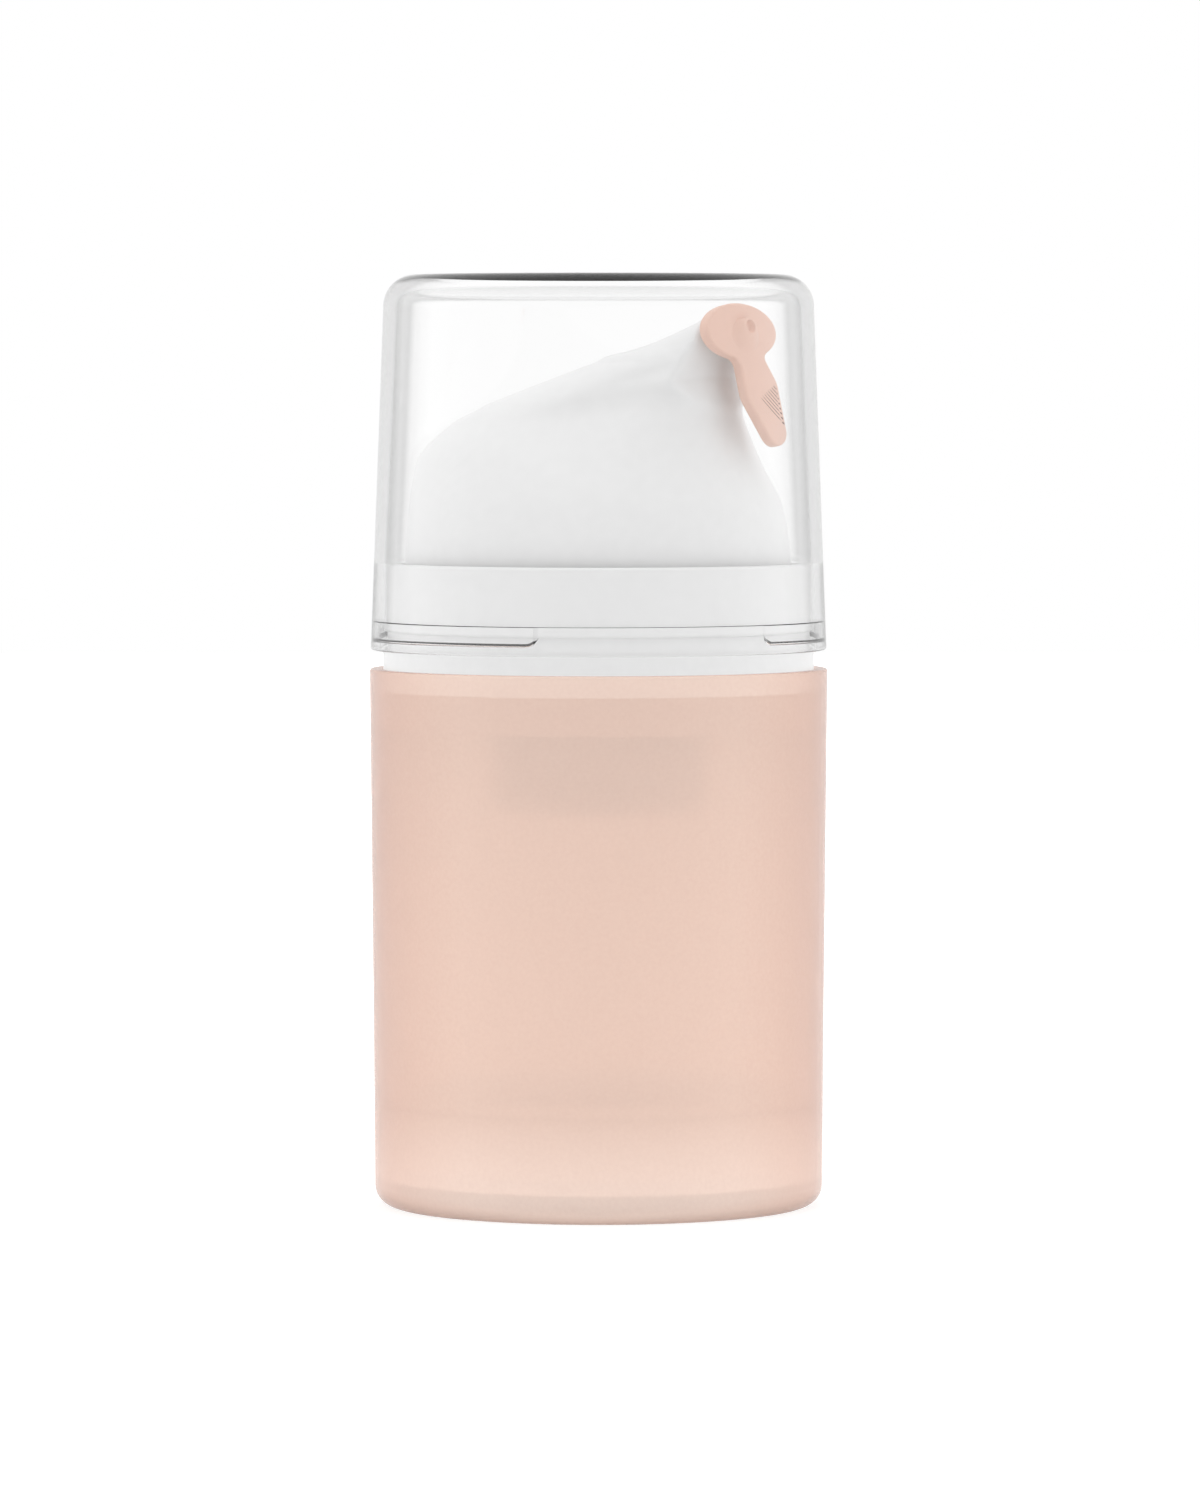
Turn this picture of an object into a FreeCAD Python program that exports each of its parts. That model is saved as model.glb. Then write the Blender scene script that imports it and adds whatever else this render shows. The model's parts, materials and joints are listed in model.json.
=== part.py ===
import FreeCAD, Part
import Sketcher
import math
import operator
import os
import types

# Airless pump bottle with a clear overcap, in millimetres.
# The origin is the middle of the foot, +Z is up and the front is -Y.
# Pieces of the head are drawn with the spout along +X, and their Placement turns
# them to where the spout points.

Vector = FreeCAD.Vector
full_turn = 360
doc = FreeCAD.newDocument("airless_pump_bottle")
sheet = doc.addObject("Spreadsheet::Sheet", "Sizes")

DIMENSIONS = {
    # Outer bottle
    "bottle_height": 51.7,
    "bottle_top_radius": 22.0,
    "bottle_taper": 0.5,
    "bottle_wall": 1.2,
    "bottle_floor": 1.5,
    "foot_recess": 1.2,
    "foot_ring_width": 5.0,
    "foot_round": 2.0,
    "vent_radius": 1.25,
    # Inner bottle, the tube that holds the product
    "tube_gap": 0.3,
    "tube_wall": 0.8,
    "tube_floor": 1.0,
    "tube_vent_radius": 2.5,
    "tube_round": 1.0,
    "rim_drop": 4.7,
    # Follower piston
    "follower_fit": 0.05,
    "follower_rest": 0.3,
    "follower_height": 7.0,
    "follower_lip": 0.9,
    "follower_waist": 0.45,
    "follower_wall": 1.0,
    "crown_drop": 1.0,
    "dish_gap": 1.0,
    "dish_depth": 2.0,
    "dish_flare": 0.6,
    "rib_count": 8,
    "rib_thickness": 1.0,
    "rib_height": 3.4,
    # Gasket and pump housing
    "gasket_thickness": 0.8,
    "flange_thickness": 1.5,
    "flange_fit": 0.1,
    "housing_bore": 9.1,
    "housing_wall": 1.2,
    "bottom_room": 1.1,
    "housing_floor": 1.5,
    "housing_round": 1.0,
    "inlet_radius": 2.2,
    # Inlet valve and its cage
    "flap_radius": 4.0,
    "flap_thickness": 0.6,
    "flap_lift": 0.5,
    "lift_stop": 0.1,
    "cage_gap": 0.5,
    "cage_wall": 1.0,
    "cage_roof": 0.4,
    "cage_eye": 1.5,
    "cage_window": 2.6,
    "cage_window_pairs": 2,
    # Pump piston, seat and stem
    "running_fit": 0.05,
    "push_fit": 0.03,
    "piston_top_gap": 0.1,
    "hub_height": 2.4,
    "hub_wall": 1.6,
    "web_thickness": 1.0,
    "lip_thickness": 0.85,
    "lip_drop": 1.2,
    "lip_height": 2.6,
    "seat_radius": 3.9,
    "seat_thickness": 0.5,
    "spigot_height": 2.7,
    "spigot_wall": 0.75,
    "stem_radius": 3.0,
    "stem_bore": 1.8,
    "socket_depth": 3.2,
    # Stem guide, seal and spring
    "stroke": 4.5,
    "stroke_stop": 0.2,
    "guide_flange": 1.0,
    "guide_plug": 0.5,
    "guide_wall": 1.85,
    "guide_gap": 0.2,
    "seal_width": 0.85,
    "seal_height": 1.2,
    "spring_length": 9.0,
    "spring_radius": 5.7,
    "spring_wire": 0.9,
    "spring_turns": 4,
    "spring_end_gap": 0.05,
    # Outlet valve
    "ball_radius": 2.0,
    "ball_room": 0.3,
    "ball_gap": 0.05,
    "ball_lift": 0.5,
    "ball_stop": 0.4,
    "ball_seat_depth": 2.7,
    # Collar
    "collar_fit": 0.1,
    "skirt_fit": 0.08,
    "skirt_depth": 5.7,
    "ledge_bore": 12.2,
    "ledge_thickness": 1.2,
    "ring_show": 1.8,
    "snap_seat_depth": 0.4,
    "snap_seat_height": 1.7,
    "bead_height": 1.0,
    "band_step": 0.3,
    "band_wall": 1.2,
    "band_height": 5.6,
    "band_round": 0.3,
    # Head
    "head_gap": 0.35,
    "head_foot_room": 1.5,
    "head_wall": 1.2,
    "core_flange_radius": 7.2,
    "core_flange": 1.0,
    "socket_wall": 1.55,
    "socket_roof": 1.2,
    "neck_radius": 2.6,
    "neck_bore": 1.5,
    "neck_drop": 1.2,
    # Spout, in degrees and millimetres
    "spout_turn": -38.0,
    "spout_rise": 12.0,
    "nozzle_inset": 2.95,
    "nozzle_rise": 22.0,
    "nozzle_half_width": 5.0,
    "nozzle_half_height": 2.0,
    "nozzle_end_radius": 1.4,
    "barrel_length": 10.0,
    "outlet_bore": 1.4,
    "tip_radius": 2.0,
    "tip_orifice": 1.0,
    "tip_length": 3.0,
    # Transport plug
    "plug_gap": 0.05,
    "plug_half_width": 5.35,
    "plug_half_height": 2.85,
    "plug_end_radius": 1.9,
    "plug_thickness": 1.0,
    "pin_length": 2.5,
    "boss_radius": 1.7,
    "boss_height": 0.6,
    "boss_taper": 30.0,
    "dimple_radius": 0.5,
    "dimple_depth": 0.4,
    "tail_turn": 15.0,
    "tail_reach": 11.65,
    "tail_half_width": 2.6,
    "tail_nose": 1.6,
    # Overcap
    "cap_headroom": 5.65,
    "cap_step": 0.1,
    "cap_draft": 1.35,
    "cap_corner": 3.0,
    "cap_wall": 1.25,
    "cap_roof": 1.25,
    "cap_fit": 0.1,
    "cap_rim_gap": 0.25,
    "pocket_depth": 0.4,
    "pocket_lip": 0.8,
    "pocket_angle": 118.0,
    "pocket_turn": 15.5,
    "pocket_count": 2,
}

# Level sections of the head, from its lowest up. Each has its drop below the nozzle's
# middle and how far it lies inside the head's radius at the rear, at the tip and at
# the sides, how much less than the head's radius its tip is rounded to, and how much
# the leaning wall thickens there.
HEAD_SECTIONS = {
    "base": (22.0, 0.25, 0.35, 0.45, 0.65, 1.0),
    "waist": (16.8, 0.40, 0.85, 1.25, 2.35, 1.1),
    "shoulder": (12.3, 0.65, 2.45, 3.45, 6.55, 1.3),
    "ramp": (8.3, 4.05, 3.55, 6.85, 9.75, 1.8),
    "throat": (5.3, 11.35, 4.05, 9.65, 12.35, 0.0),
    "brow": (2.3, 20.85, 4.45, 12.75, 14.05, 0.0),
}
SECTION_SIZES = ("drop", "rear", "front", "side", "nose", "thicken")


class Size:
    """A value of the sheet, or one worked out from such values, with its expression."""

    SIGNS = {"+": operator.add, "-": operator.sub, "*": operator.mul, "/": operator.truediv}

    def __init__(self, value, text):
        self.value = float(value)
        self.text = text

    def joined(self, sign, other, swapped=False):
        other = as_size(other)
        first, last = (other, self) if swapped else (self, other)
        value = self.SIGNS[sign](first.value, last.value)
        return Size(value, f"({first.text} {sign} {last.text})")

    def __add__(self, other):
        return self.joined("+", other)

    def __radd__(self, other):
        return self.joined("+", other, swapped=True)

    def __sub__(self, other):
        return self.joined("-", other)

    def __rsub__(self, other):
        return self.joined("-", other, swapped=True)

    def __mul__(self, other):
        return self.joined("*", other)

    def __rmul__(self, other):
        return self.joined("*", other, swapped=True)

    def __truediv__(self, other):
        return self.joined("/", other)

    def __neg__(self):
        return 0 - self


def as_size(number):
    """The number itself if it is a Size, or a Size that holds a plain number."""
    return number if isinstance(number, Size) else Size(number, repr(number))


def cosine(angle):
    return Size(math.cos(math.radians(angle.value)), f"cos({angle.text} * 1deg)")


def sine(angle):
    return Size(math.sin(math.radians(angle.value)), f"sin({angle.text} * 1deg)")


def root(size):
    return Size(math.sqrt(size.value), f"sqrt({size.text})")


def fill_sheet():
    """Write every driving dimension into the sheet and return them by name."""
    cells = dict(DIMENSIONS)
    for section, values in HEAD_SECTIONS.items():
        for word, value in zip(SECTION_SIZES, values):
            cells[f"{section}_{word}"] = value
    sizes = {}
    for row, (alias, value) in enumerate(cells.items(), start=1):
        sheet.set(f"A{row}", alias)
        sheet.set(f"B{row}", str(value))
        sheet.setAlias(f"B{row}", alias)
        sizes[alias] = Size(value, f"Sizes.{alias}")
    doc.recompute()
    return types.SimpleNamespace(**sizes)


dim = fill_sheet()

# Levels and radii that more than one piece takes
floor_top = dim.foot_recess + dim.bottle_floor
tube_floor_top = floor_top + dim.tube_floor
tube_rim = dim.bottle_height - dim.rim_drop
gasket_top = tube_rim + dim.gasket_thickness
flange_top = gasket_top + dim.flange_thickness
ledge_top = flange_top + dim.ledge_thickness
ring_top = dim.bottle_height + dim.ring_show
bead_foot = ring_top + dim.snap_seat_height
bead_top = bead_foot + dim.bead_height
collar_top = bead_top + dim.band_height

bottle_foot_radius = dim.bottle_top_radius - dim.bottle_taper
bottle_bore = dim.bottle_top_radius - dim.bottle_wall
tube_radius = bottle_bore - dim.bottle_taper - dim.tube_gap
tube_bore = tube_radius - dim.tube_wall
collar_radius = bottle_bore - dim.collar_fit
band_radius = collar_radius - dim.band_step
head_bore = band_radius - dim.band_wall
head_radius = head_bore - dim.head_gap
head_foot = ledge_top + dim.stroke + dim.head_foot_room

guide_foot = flange_top - dim.guide_plug
guide_flange_top = flange_top + dim.guide_flange
core_foot = guide_flange_top + dim.spring_length
guide_top = core_foot - dim.stroke - dim.stroke_stop
guide_bore = dim.stem_radius + dim.running_fit
guide_radius = guide_bore + dim.guide_wall
seal_foot = guide_top - dim.seal_height
seal_radius = guide_bore + dim.seal_width

hub_top = guide_foot - dim.piston_top_gap
hub_foot = hub_top - dim.hub_height
piston_lip_foot = hub_foot - dim.lip_drop
stem_top = core_foot + dim.socket_depth
ball_seat = stem_top - dim.ball_seat_depth

housing_radius = dim.housing_bore + dim.housing_wall
housing_floor_top = piston_lip_foot - dim.stroke - dim.bottom_room
housing_foot = housing_floor_top - dim.housing_floor
flap_top = housing_floor_top + dim.flap_thickness

nozzle_level = collar_top + dim.nozzle_rise
nozzle_reach = head_radius - dim.nozzle_inset
spout_slope = sine(dim.spout_rise) / cosine(dim.spout_rise)
spout_start = nozzle_level - nozzle_reach * spout_slope
neck_top = spout_start - dim.neck_drop


# Sketches

def origin_feature(body, role):
    """One of a body's own origin planes or axes."""
    return next(item for item in body.Origin.OriginFeatures if item.Role == role)


def new_body(label):
    body = doc.addObject("PartDesign::Body", label)
    body.Label = label
    return body


def new_sketch(body, name, plane, level=None, turn=None):
    """A sketch on an origin plane, at a level above it and turned in it."""
    sketch = body.newObject("Sketcher::SketchObject", name)
    sketch.AttachmentSupport = (origin_feature(body, plane), [""])
    sketch.MapMode = "FlatFace"
    if turn is not None:
        sketch.AttachmentOffset = FreeCAD.Placement(Vector(), FreeCAD.Rotation(Vector(0, 0, 1), turn.value))
        sketch.setExpression("AttachmentOffset.Rotation.Angle", turn.text)
    if level is not None:
        sketch.setExpression("AttachmentOffset.Base.z", level.text)
    return sketch


def bind(sketch, constraint, size):
    """Add a dimension to a sketch and tie it to its expression."""
    index = sketch.addConstraint(constraint)
    sketch.setExpression(f"Constraints[{index}]", size.text)


def locate(sketch, geometry, point, across, up):
    """Hold a point of a sketch at its two coordinates."""
    for kind, axis, size in (("DistanceX", -2, across), ("DistanceY", -1, up)):
        if size.text == "0":
            sketch.addConstraint(Sketcher.Constraint("PointOnObject", geometry, point, axis))
        else:
            bind(sketch, Sketcher.Constraint(kind, -1, 1, geometry, point, size.value), size)


def rounded_corner(before, corner, after, radius):
    """Where an arc of this radius leaves the two sides of a corner, its centre and its turn."""
    back = (before - corner).normalize()
    ahead = (after - corner).normalize()
    half = back.getAngle(ahead) / 2
    reach = radius / math.tan(half)
    middle = corner + (back + ahead).normalize() * (radius / math.sin(half))
    turns_left = back.cross(ahead).z < 0
    return corner + back * reach, corner + ahead * reach, middle, turns_left


def outline(sketch, corners):
    """A closed outline through corners (across, up) or (across, up, rounding)."""
    corners = [[as_size(number) for number in corner] for corner in corners]
    points = [Vector(corner[0].value, corner[1].value, 0) for corner in corners]
    count = len(corners)
    arrive = list(points)
    leave = list(points)
    arcs = {}
    for i, corner in enumerate(corners):
        if len(corner) == 3:
            turned = rounded_corner(points[i - 1], points[i], points[(i + 1) % count], corner[2].value)
            arrive[i], leave[i] = turned[0], turned[1]
            arcs[i] = turned
    lines = []
    for i in range(count):
        lines.append(sketch.addGeometry(Part.LineSegment(leave[i], arrive[(i + 1) % count])))
    for i, corner in enumerate(corners):
        before, after = lines[i - 1], lines[i]
        if i not in arcs:
            sketch.addConstraint(Sketcher.Constraint("Coincident", before, 2, after, 1))
            locate(sketch, after, 1, corner[0], corner[1])
            continue
        first, last, middle, turns_left = arcs[i]
        start, end = (first, last) if turns_left else (last, first)
        circle = Part.Circle(middle, Vector(0, 0, 1), corner[2].value)
        arc = sketch.addGeometry(Part.ArcOfCircle(circle, circle.parameter(start), circle.parameter(end)))
        joint = sketch.addGeometry(Part.Point(points[i]), True)
        sketch.addConstraint(Sketcher.Constraint("PointOnObject", joint, 1, before))
        sketch.addConstraint(Sketcher.Constraint("PointOnObject", joint, 1, after))
        locate(sketch, joint, 1, corner[0], corner[1])
        sketch.addConstraint(Sketcher.Constraint("Tangent", before, 2, arc, 1 if turns_left else 2))
        sketch.addConstraint(Sketcher.Constraint("Tangent", after, 1, arc, 2 if turns_left else 1))
        bind(sketch, Sketcher.Constraint("Radius", arc, corner[2].value), corner[2])


def circle(sketch, radius):
    """A circle about the sketch's origin."""
    ring = sketch.addGeometry(Part.Circle(Vector(), Vector(0, 0, 1), radius.value))
    sketch.addConstraint(Sketcher.Constraint("Coincident", ring, 3, -1, 1))
    bind(sketch, Sketcher.Constraint("Radius", ring, radius.value), radius)


def egg(sketch, rear, tip, side, nose):
    """A closed egg along the sketch's X: a rear arc of radius side, a tip arc of radius
    nose and the two straight sides that touch both."""
    rear_middle = rear + side
    tip_middle = tip - nose
    lean = math.asin((side.value - nose.value) / (tip_middle.value - rear_middle.value))
    up = math.pi / 2 - lean
    flat = Vector(0, 0, 1)
    rear_circle = Part.Circle(Vector(rear_middle.value, 0, 0), flat, side.value)
    tip_circle = Part.Circle(Vector(tip_middle.value, 0, 0), flat, nose.value)
    rear_arc = sketch.addGeometry(Part.ArcOfCircle(rear_circle, up, 2 * math.pi - up))
    tip_arc = sketch.addGeometry(Part.ArcOfCircle(tip_circle, -up, up))
    upper = sketch.addGeometry(Part.LineSegment(tip_circle.value(up), rear_circle.value(up)))
    lower = sketch.addGeometry(Part.LineSegment(rear_circle.value(-up), tip_circle.value(-up)))
    for arc, middle, radius in ((rear_arc, rear_middle, side), (tip_arc, tip_middle, nose)):
        locate(sketch, arc, 3, middle, as_size(0))
        bind(sketch, Sketcher.Constraint("Radius", arc, radius.value), radius)
    sketch.addConstraint(Sketcher.Constraint("Tangent", tip_arc, 2, upper, 1))
    sketch.addConstraint(Sketcher.Constraint("Tangent", upper, 2, rear_arc, 1))
    sketch.addConstraint(Sketcher.Constraint("Tangent", rear_arc, 2, lower, 1))
    sketch.addConstraint(Sketcher.Constraint("Tangent", lower, 2, tip_arc, 1))


def oval(sketch, half_width, half_height, end_radius):
    """A four-arc oval with its long axis along the sketch's Y."""
    end_middle = half_width - end_radius
    flat_radius = (end_middle * end_middle + half_height * half_height - end_radius * end_radius) / (
        2 * (half_height - end_radius))
    flat_middle = flat_radius - half_height
    spread = math.atan2(end_middle.value, flat_middle.value)
    flat = Vector(0, 0, 1)
    right = Part.Circle(Vector(-flat_middle.value, 0, 0), flat, flat_radius.value)
    left = Part.Circle(Vector(flat_middle.value, 0, 0), flat, flat_radius.value)
    top = Part.Circle(Vector(0, end_middle.value, 0), flat, end_radius.value)
    foot = Part.Circle(Vector(0, -end_middle.value, 0), flat, end_radius.value)
    arcs = [
        sketch.addGeometry(Part.ArcOfCircle(right, -spread, spread)),
        sketch.addGeometry(Part.ArcOfCircle(top, spread, math.pi - spread)),
        sketch.addGeometry(Part.ArcOfCircle(left, math.pi - spread, math.pi + spread)),
        sketch.addGeometry(Part.ArcOfCircle(foot, math.pi + spread, 2 * math.pi - spread)),
    ]
    for arc, across in ((arcs[0], -flat_middle), (arcs[2], flat_middle)):
        bind(sketch, Sketcher.Constraint("DistanceX", -1, 1, arc, 3, across.value), across)
    for arc, up in ((arcs[1], end_middle), (arcs[3], -end_middle)):
        locate(sketch, arc, 3, as_size(0), up)
        bind(sketch, Sketcher.Constraint("Radius", arc, end_radius.value), end_radius)
    for before, after in zip(arcs, arcs[1:] + arcs[:1]):
        sketch.addConstraint(Sketcher.Constraint("Tangent", before, 2, after, 1))


# Features

def turned(label, corners):
    """A body turned about the bottle's axis from half of its section."""
    body = new_body(label)
    sketch = new_sketch(body, f"{label}_section", "XZ_Plane")
    outline(sketch, corners)
    revolution = body.newObject("PartDesign::Revolution", f"{label}_turned")
    revolution.Profile = sketch
    revolution.ReferenceAxis = (sketch, ["V_Axis"])
    revolution.Angle = full_turn
    return body


def padded(body, sketch, height, reversed_side=False):
    """Raise a sketch to a height."""
    pad = body.newObject("PartDesign::Pad", f"{sketch.Name}_pad")
    pad.Profile = sketch
    pad.setExpression("Length", height.text)
    pad.Reversed = reversed_side
    return pad


def repeated(body, feature, count, angle):
    """Copies of a feature round the bottle's axis."""
    pattern = body.newObject("PartDesign::PolarPattern", f"{feature.Name}_round")
    pattern.Originals = [feature]
    pattern.Axis = (origin_feature(body, "Z_Axis"), [""])
    pattern.setExpression("Angle", as_size(angle).text)
    pattern.setExpression("Occurrences", count.text)
    body.Tip = pattern


def along_spout(distance):
    """A point of the spout's axis, measured outwards from the nozzle's face."""
    out = nozzle_reach + distance * cosine(dim.spout_rise)
    up = nozzle_level + distance * sine(dim.spout_rise)
    return out * cosine(dim.spout_turn), out * sine(dim.spout_turn), up


def set_on_spout(piece, distance):
    """Stand a piece on the spout's axis, with its own +Z outwards and its +X down."""
    across, back, up = (size.text for size in along_spout(distance))
    place = f"create(<<vector>>; {across}; {back}; {up})"
    turn = f"create(<<rotation>>; {dim.spout_turn.text}; 90 - {dim.spout_rise.text}; 0)"
    piece.setExpression("Placement", f"create(<<placement>>; {place}; {turn})")


def turn_round(piece, angle):
    """Turn a piece about the bottle's axis."""
    turn = f"create(<<rotation>>; {angle.text}; 0; 0)"
    piece.setExpression("Placement", f"create(<<placement>>; create(<<vector>>; 0; 0; 0); {turn})")


def cut(label, base, tool):
    """One piece cut by another."""
    result = doc.addObject("Part::Cut", label)
    result.Label = label
    result.Base = base
    result.Tool = tool
    return result


def rod(name, radius, length):
    """A plain cylinder to cut a bore with."""
    cylinder = doc.addObject("Part::Cylinder", name)
    cylinder.setExpression("Radius", radius.text)
    cylinder.setExpression("Height", length.text)
    return cylinder


# Bottle

def make_outer_bottle():
    ring_bore = bottle_foot_radius - dim.foot_ring_width
    return turned("outer_bottle", [
        (dim.vent_radius, dim.foot_recess),
        (ring_bore, dim.foot_recess),
        (ring_bore + dim.foot_recess, 0),
        (bottle_foot_radius, 0, dim.foot_round),
        (dim.bottle_top_radius, dim.bottle_height),
        (bottle_bore, dim.bottle_height),
        (bottle_bore - dim.bottle_taper, floor_top),
        (dim.vent_radius, floor_top),
    ])


def make_inner_bottle():
    return turned("inner_bottle", [
        (dim.tube_vent_radius, floor_top),
        (tube_radius, floor_top, dim.tube_round),
        (tube_radius, tube_rim),
        (tube_bore, tube_rim),
        (tube_bore, tube_floor_top),
        (dim.tube_vent_radius, tube_floor_top),
    ])


def make_follower_piston():
    foot = tube_floor_top + dim.follower_rest
    top = foot + dim.follower_height
    crown = top - dim.crown_drop
    dish = crown - dim.dish_depth
    lip_radius = tube_bore - dim.follower_fit
    waist = lip_radius - dim.follower_waist
    inside = waist - dim.follower_wall
    dish_radius = housing_radius + dim.dish_gap
    dish_edge = dish_radius + dim.dish_flare
    body = turned("follower_piston", [
        (0, dish),
        (dish_radius, dish),
        (dish_edge, crown),
        (inside, crown),
        (waist, top),
        (lip_radius, top),
        (lip_radius, top - dim.follower_lip),
        (waist, top - dim.follower_lip - dim.follower_waist),
        (waist, foot + dim.follower_lip + dim.follower_waist),
        (lip_radius, foot + dim.follower_lip),
        (lip_radius, foot),
        (inside, foot),
        (inside, crown - dim.follower_wall),
        (dish_edge + dim.follower_wall, crown - dim.follower_wall),
        (dish_radius + dim.follower_wall, dish - dim.follower_wall),
        (0, dish - dim.follower_wall),
    ])
    sketch = new_sketch(body, "follower_rib", "XZ_Plane")
    rib_top = crown - dim.follower_wall / 2
    rib_foot = crown - dim.follower_wall - dim.rib_height
    rib_outside = inside + dim.follower_wall / 2
    outline(sketch, [
        (dish_radius, rib_foot),
        (rib_outside, rib_foot),
        (rib_outside, rib_top),
        (dish_edge + dim.follower_wall, rib_top),
        (dish_radius, dish - dim.follower_wall / 2),
    ])
    rib = padded(body, sketch, dim.rib_thickness)
    rib.Midplane = True
    repeated(body, rib, dim.rib_count, full_turn)
    return body


def make_collar():
    seat = collar_radius - dim.snap_seat_depth
    skirt_bore = tube_radius + dim.skirt_fit
    skirt_foot = dim.bottle_height - dim.skirt_depth
    return turned("collar", [
        (skirt_bore, skirt_foot),
        (collar_radius, skirt_foot),
        (collar_radius, ring_top),
        (seat, ring_top),
        (seat, bead_foot),
        (collar_radius, bead_foot),
        (collar_radius, bead_top),
        (band_radius, bead_top),
        (band_radius, collar_top, dim.band_round),
        (head_bore, collar_top, dim.band_round),
        (head_bore, ledge_top),
        (dim.ledge_bore, ledge_top),
        (dim.ledge_bore, flange_top),
        (skirt_bore, flange_top),
    ])


# Pump

def make_pump_gasket():
    return turned("pump_gasket", [
        (tube_bore, tube_rim),
        (tube_radius, tube_rim),
        (tube_radius, gasket_top),
        (tube_bore, gasket_top),
    ])


def make_pump_housing():
    flange_radius = tube_radius - dim.flange_fit
    return turned("pump_housing", [
        (dim.inlet_radius, housing_foot),
        (housing_radius, housing_foot, dim.housing_round),
        (housing_radius, gasket_top),
        (flange_radius, gasket_top),
        (flange_radius, flange_top),
        (dim.housing_bore, flange_top),
        (dim.housing_bore, housing_floor_top),
        (dim.inlet_radius, housing_floor_top),
    ])


def make_inlet_valve():
    return turned("inlet_valve", [
        (0, housing_floor_top),
        (dim.flap_radius, housing_floor_top),
        (dim.flap_radius, flap_top),
        (0, flap_top),
    ])


def make_inlet_cage():
    inside = dim.flap_radius + dim.cage_gap
    outside = inside + dim.cage_wall
    roof = flap_top + dim.flap_lift + dim.lift_stop
    body = turned("inlet_cage", [
        (inside, housing_floor_top),
        (outside, housing_floor_top),
        (outside, roof + dim.cage_roof),
        (dim.cage_eye, roof + dim.cage_roof),
        (dim.cage_eye, roof),
        (inside, roof),
    ])
    sketch = new_sketch(body, "cage_window", "XZ_Plane")
    outline(sketch, [
        (-outside - dim.cage_gap, housing_floor_top),
        (outside + dim.cage_gap, housing_floor_top),
        (outside + dim.cage_gap, roof),
        (-outside - dim.cage_gap, roof),
    ])
    window = body.newObject("PartDesign::Pocket", "cage_window_cut")
    window.Profile = sketch
    window.Midplane = True
    window.setExpression("Length", dim.cage_window.text)
    last_window_turn = full_turn / 2 * (dim.cage_window_pairs - 1) / dim.cage_window_pairs
    repeated(body, window, dim.cage_window_pairs, last_window_turn)
    return body


def make_pump_piston():
    bore = dim.stem_radius + dim.push_fit
    hub = bore + dim.hub_wall
    rim = dim.housing_bore - dim.running_fit
    lip_top = piston_lip_foot + dim.lip_height
    inside = rim - dim.lip_thickness
    return turned("pump_piston", [
        (bore, hub_foot),
        (inside, hub_foot),
        (inside, piston_lip_foot),
        (rim, piston_lip_foot),
        (rim, lip_top),
        (inside, lip_top),
        (inside, hub_foot + dim.web_thickness),
        (hub, hub_foot + dim.web_thickness),
        (hub, hub_top),
        (bore, hub_top),
    ])


def make_piston_seat():
    spigot = dim.stem_bore - dim.push_fit
    hole = spigot - dim.spigot_wall
    return turned("piston_seat", [
        (hole, hub_foot - dim.seat_thickness),
        (dim.seat_radius, hub_foot - dim.seat_thickness),
        (dim.seat_radius, hub_foot),
        (spigot, hub_foot),
        (spigot, hub_foot + dim.spigot_height),
        (hole, hub_foot + dim.spigot_height),
    ])


def make_pump_stem():
    ball_well = dim.ball_radius + dim.ball_room
    return turned("pump_stem", [
        (dim.stem_bore, hub_foot),
        (dim.stem_radius, hub_foot),
        (dim.stem_radius, stem_top),
        (ball_well, stem_top),
        (ball_well, ball_seat),
        (dim.stem_bore, ball_seat),
    ])


def make_stem_guide():
    plug = dim.housing_bore - dim.push_fit
    flange = dim.ledge_bore - dim.guide_gap
    return turned("stem_guide", [
        (guide_bore, guide_foot),
        (plug, guide_foot),
        (plug, flange_top),
        (flange, flange_top),
        (flange, guide_flange_top),
        (guide_radius, guide_flange_top),
        (guide_radius, guide_top),
        (seal_radius + dim.push_fit, guide_top),
        (seal_radius + dim.push_fit, seal_foot),
        (guide_bore, seal_foot),
    ])


def make_stem_seal():
    return turned("stem_seal", [
        (guide_bore, seal_foot),
        (seal_radius, seal_foot),
        (seal_radius, guide_top),
        (guide_bore, guide_top),
    ])


def make_outlet_valve():
    """The ball, just clear of the edge of the stem's bore."""
    rise = root(dim.ball_radius * dim.ball_radius - dim.stem_bore * dim.stem_bore)
    ball = doc.addObject("Part::Sphere", "outlet_valve")
    ball.Label = "outlet_valve"
    ball.setExpression("Radius", dim.ball_radius.text)
    ball.setExpression("Placement.Base.z", (ball_seat + rise + dim.ball_gap).text)
    return ball


def helix_point(angle, radius, foot, pitch):
    """A point of the spring's centre line and the direction of the wire there."""
    climb = pitch / (2 * math.pi)
    point = Vector(radius * math.cos(angle), radius * math.sin(angle), foot + climb * angle)
    way = Vector(-radius * math.sin(angle), radius * math.cos(angle), climb)
    return point, way.normalize()


def arc_from(start, apex, end):
    """The arc that leaves start towards apex and reaches end from apex."""
    chord_middle = (start + end) * 0.5
    lean = (end - start).Length / 2 / (apex - start).Length
    return Part.Arc(start, chord_middle + (apex - chord_middle) * (lean / (1 + lean)), end).toShape()


def biarc(start, start_way, end, end_way):
    """Two arcs that join two points with their directions."""
    step = end - start
    ways = start_way + end_way
    spread = 2 * (1 - start_way.dot(end_way))
    along = step.dot(ways)
    reach = (math.sqrt(along * along + spread * step.dot(step)) - along) / spread
    first_apex = start + start_way * reach
    last_apex = end - end_way * reach
    joint = (first_apex + last_apex) * 0.5
    return [arc_from(start, first_apex, joint), arc_from(joint, last_apex, end)]


def least_turn_gap(points, wire, apart):
    """The least clear distance between stretches of the wire a given count of points apart."""
    gaps = [first.distanceToPoint(other) - wire
            for i, first in enumerate(points) for other in points[i + apart:]]
    return min(gaps)


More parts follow.
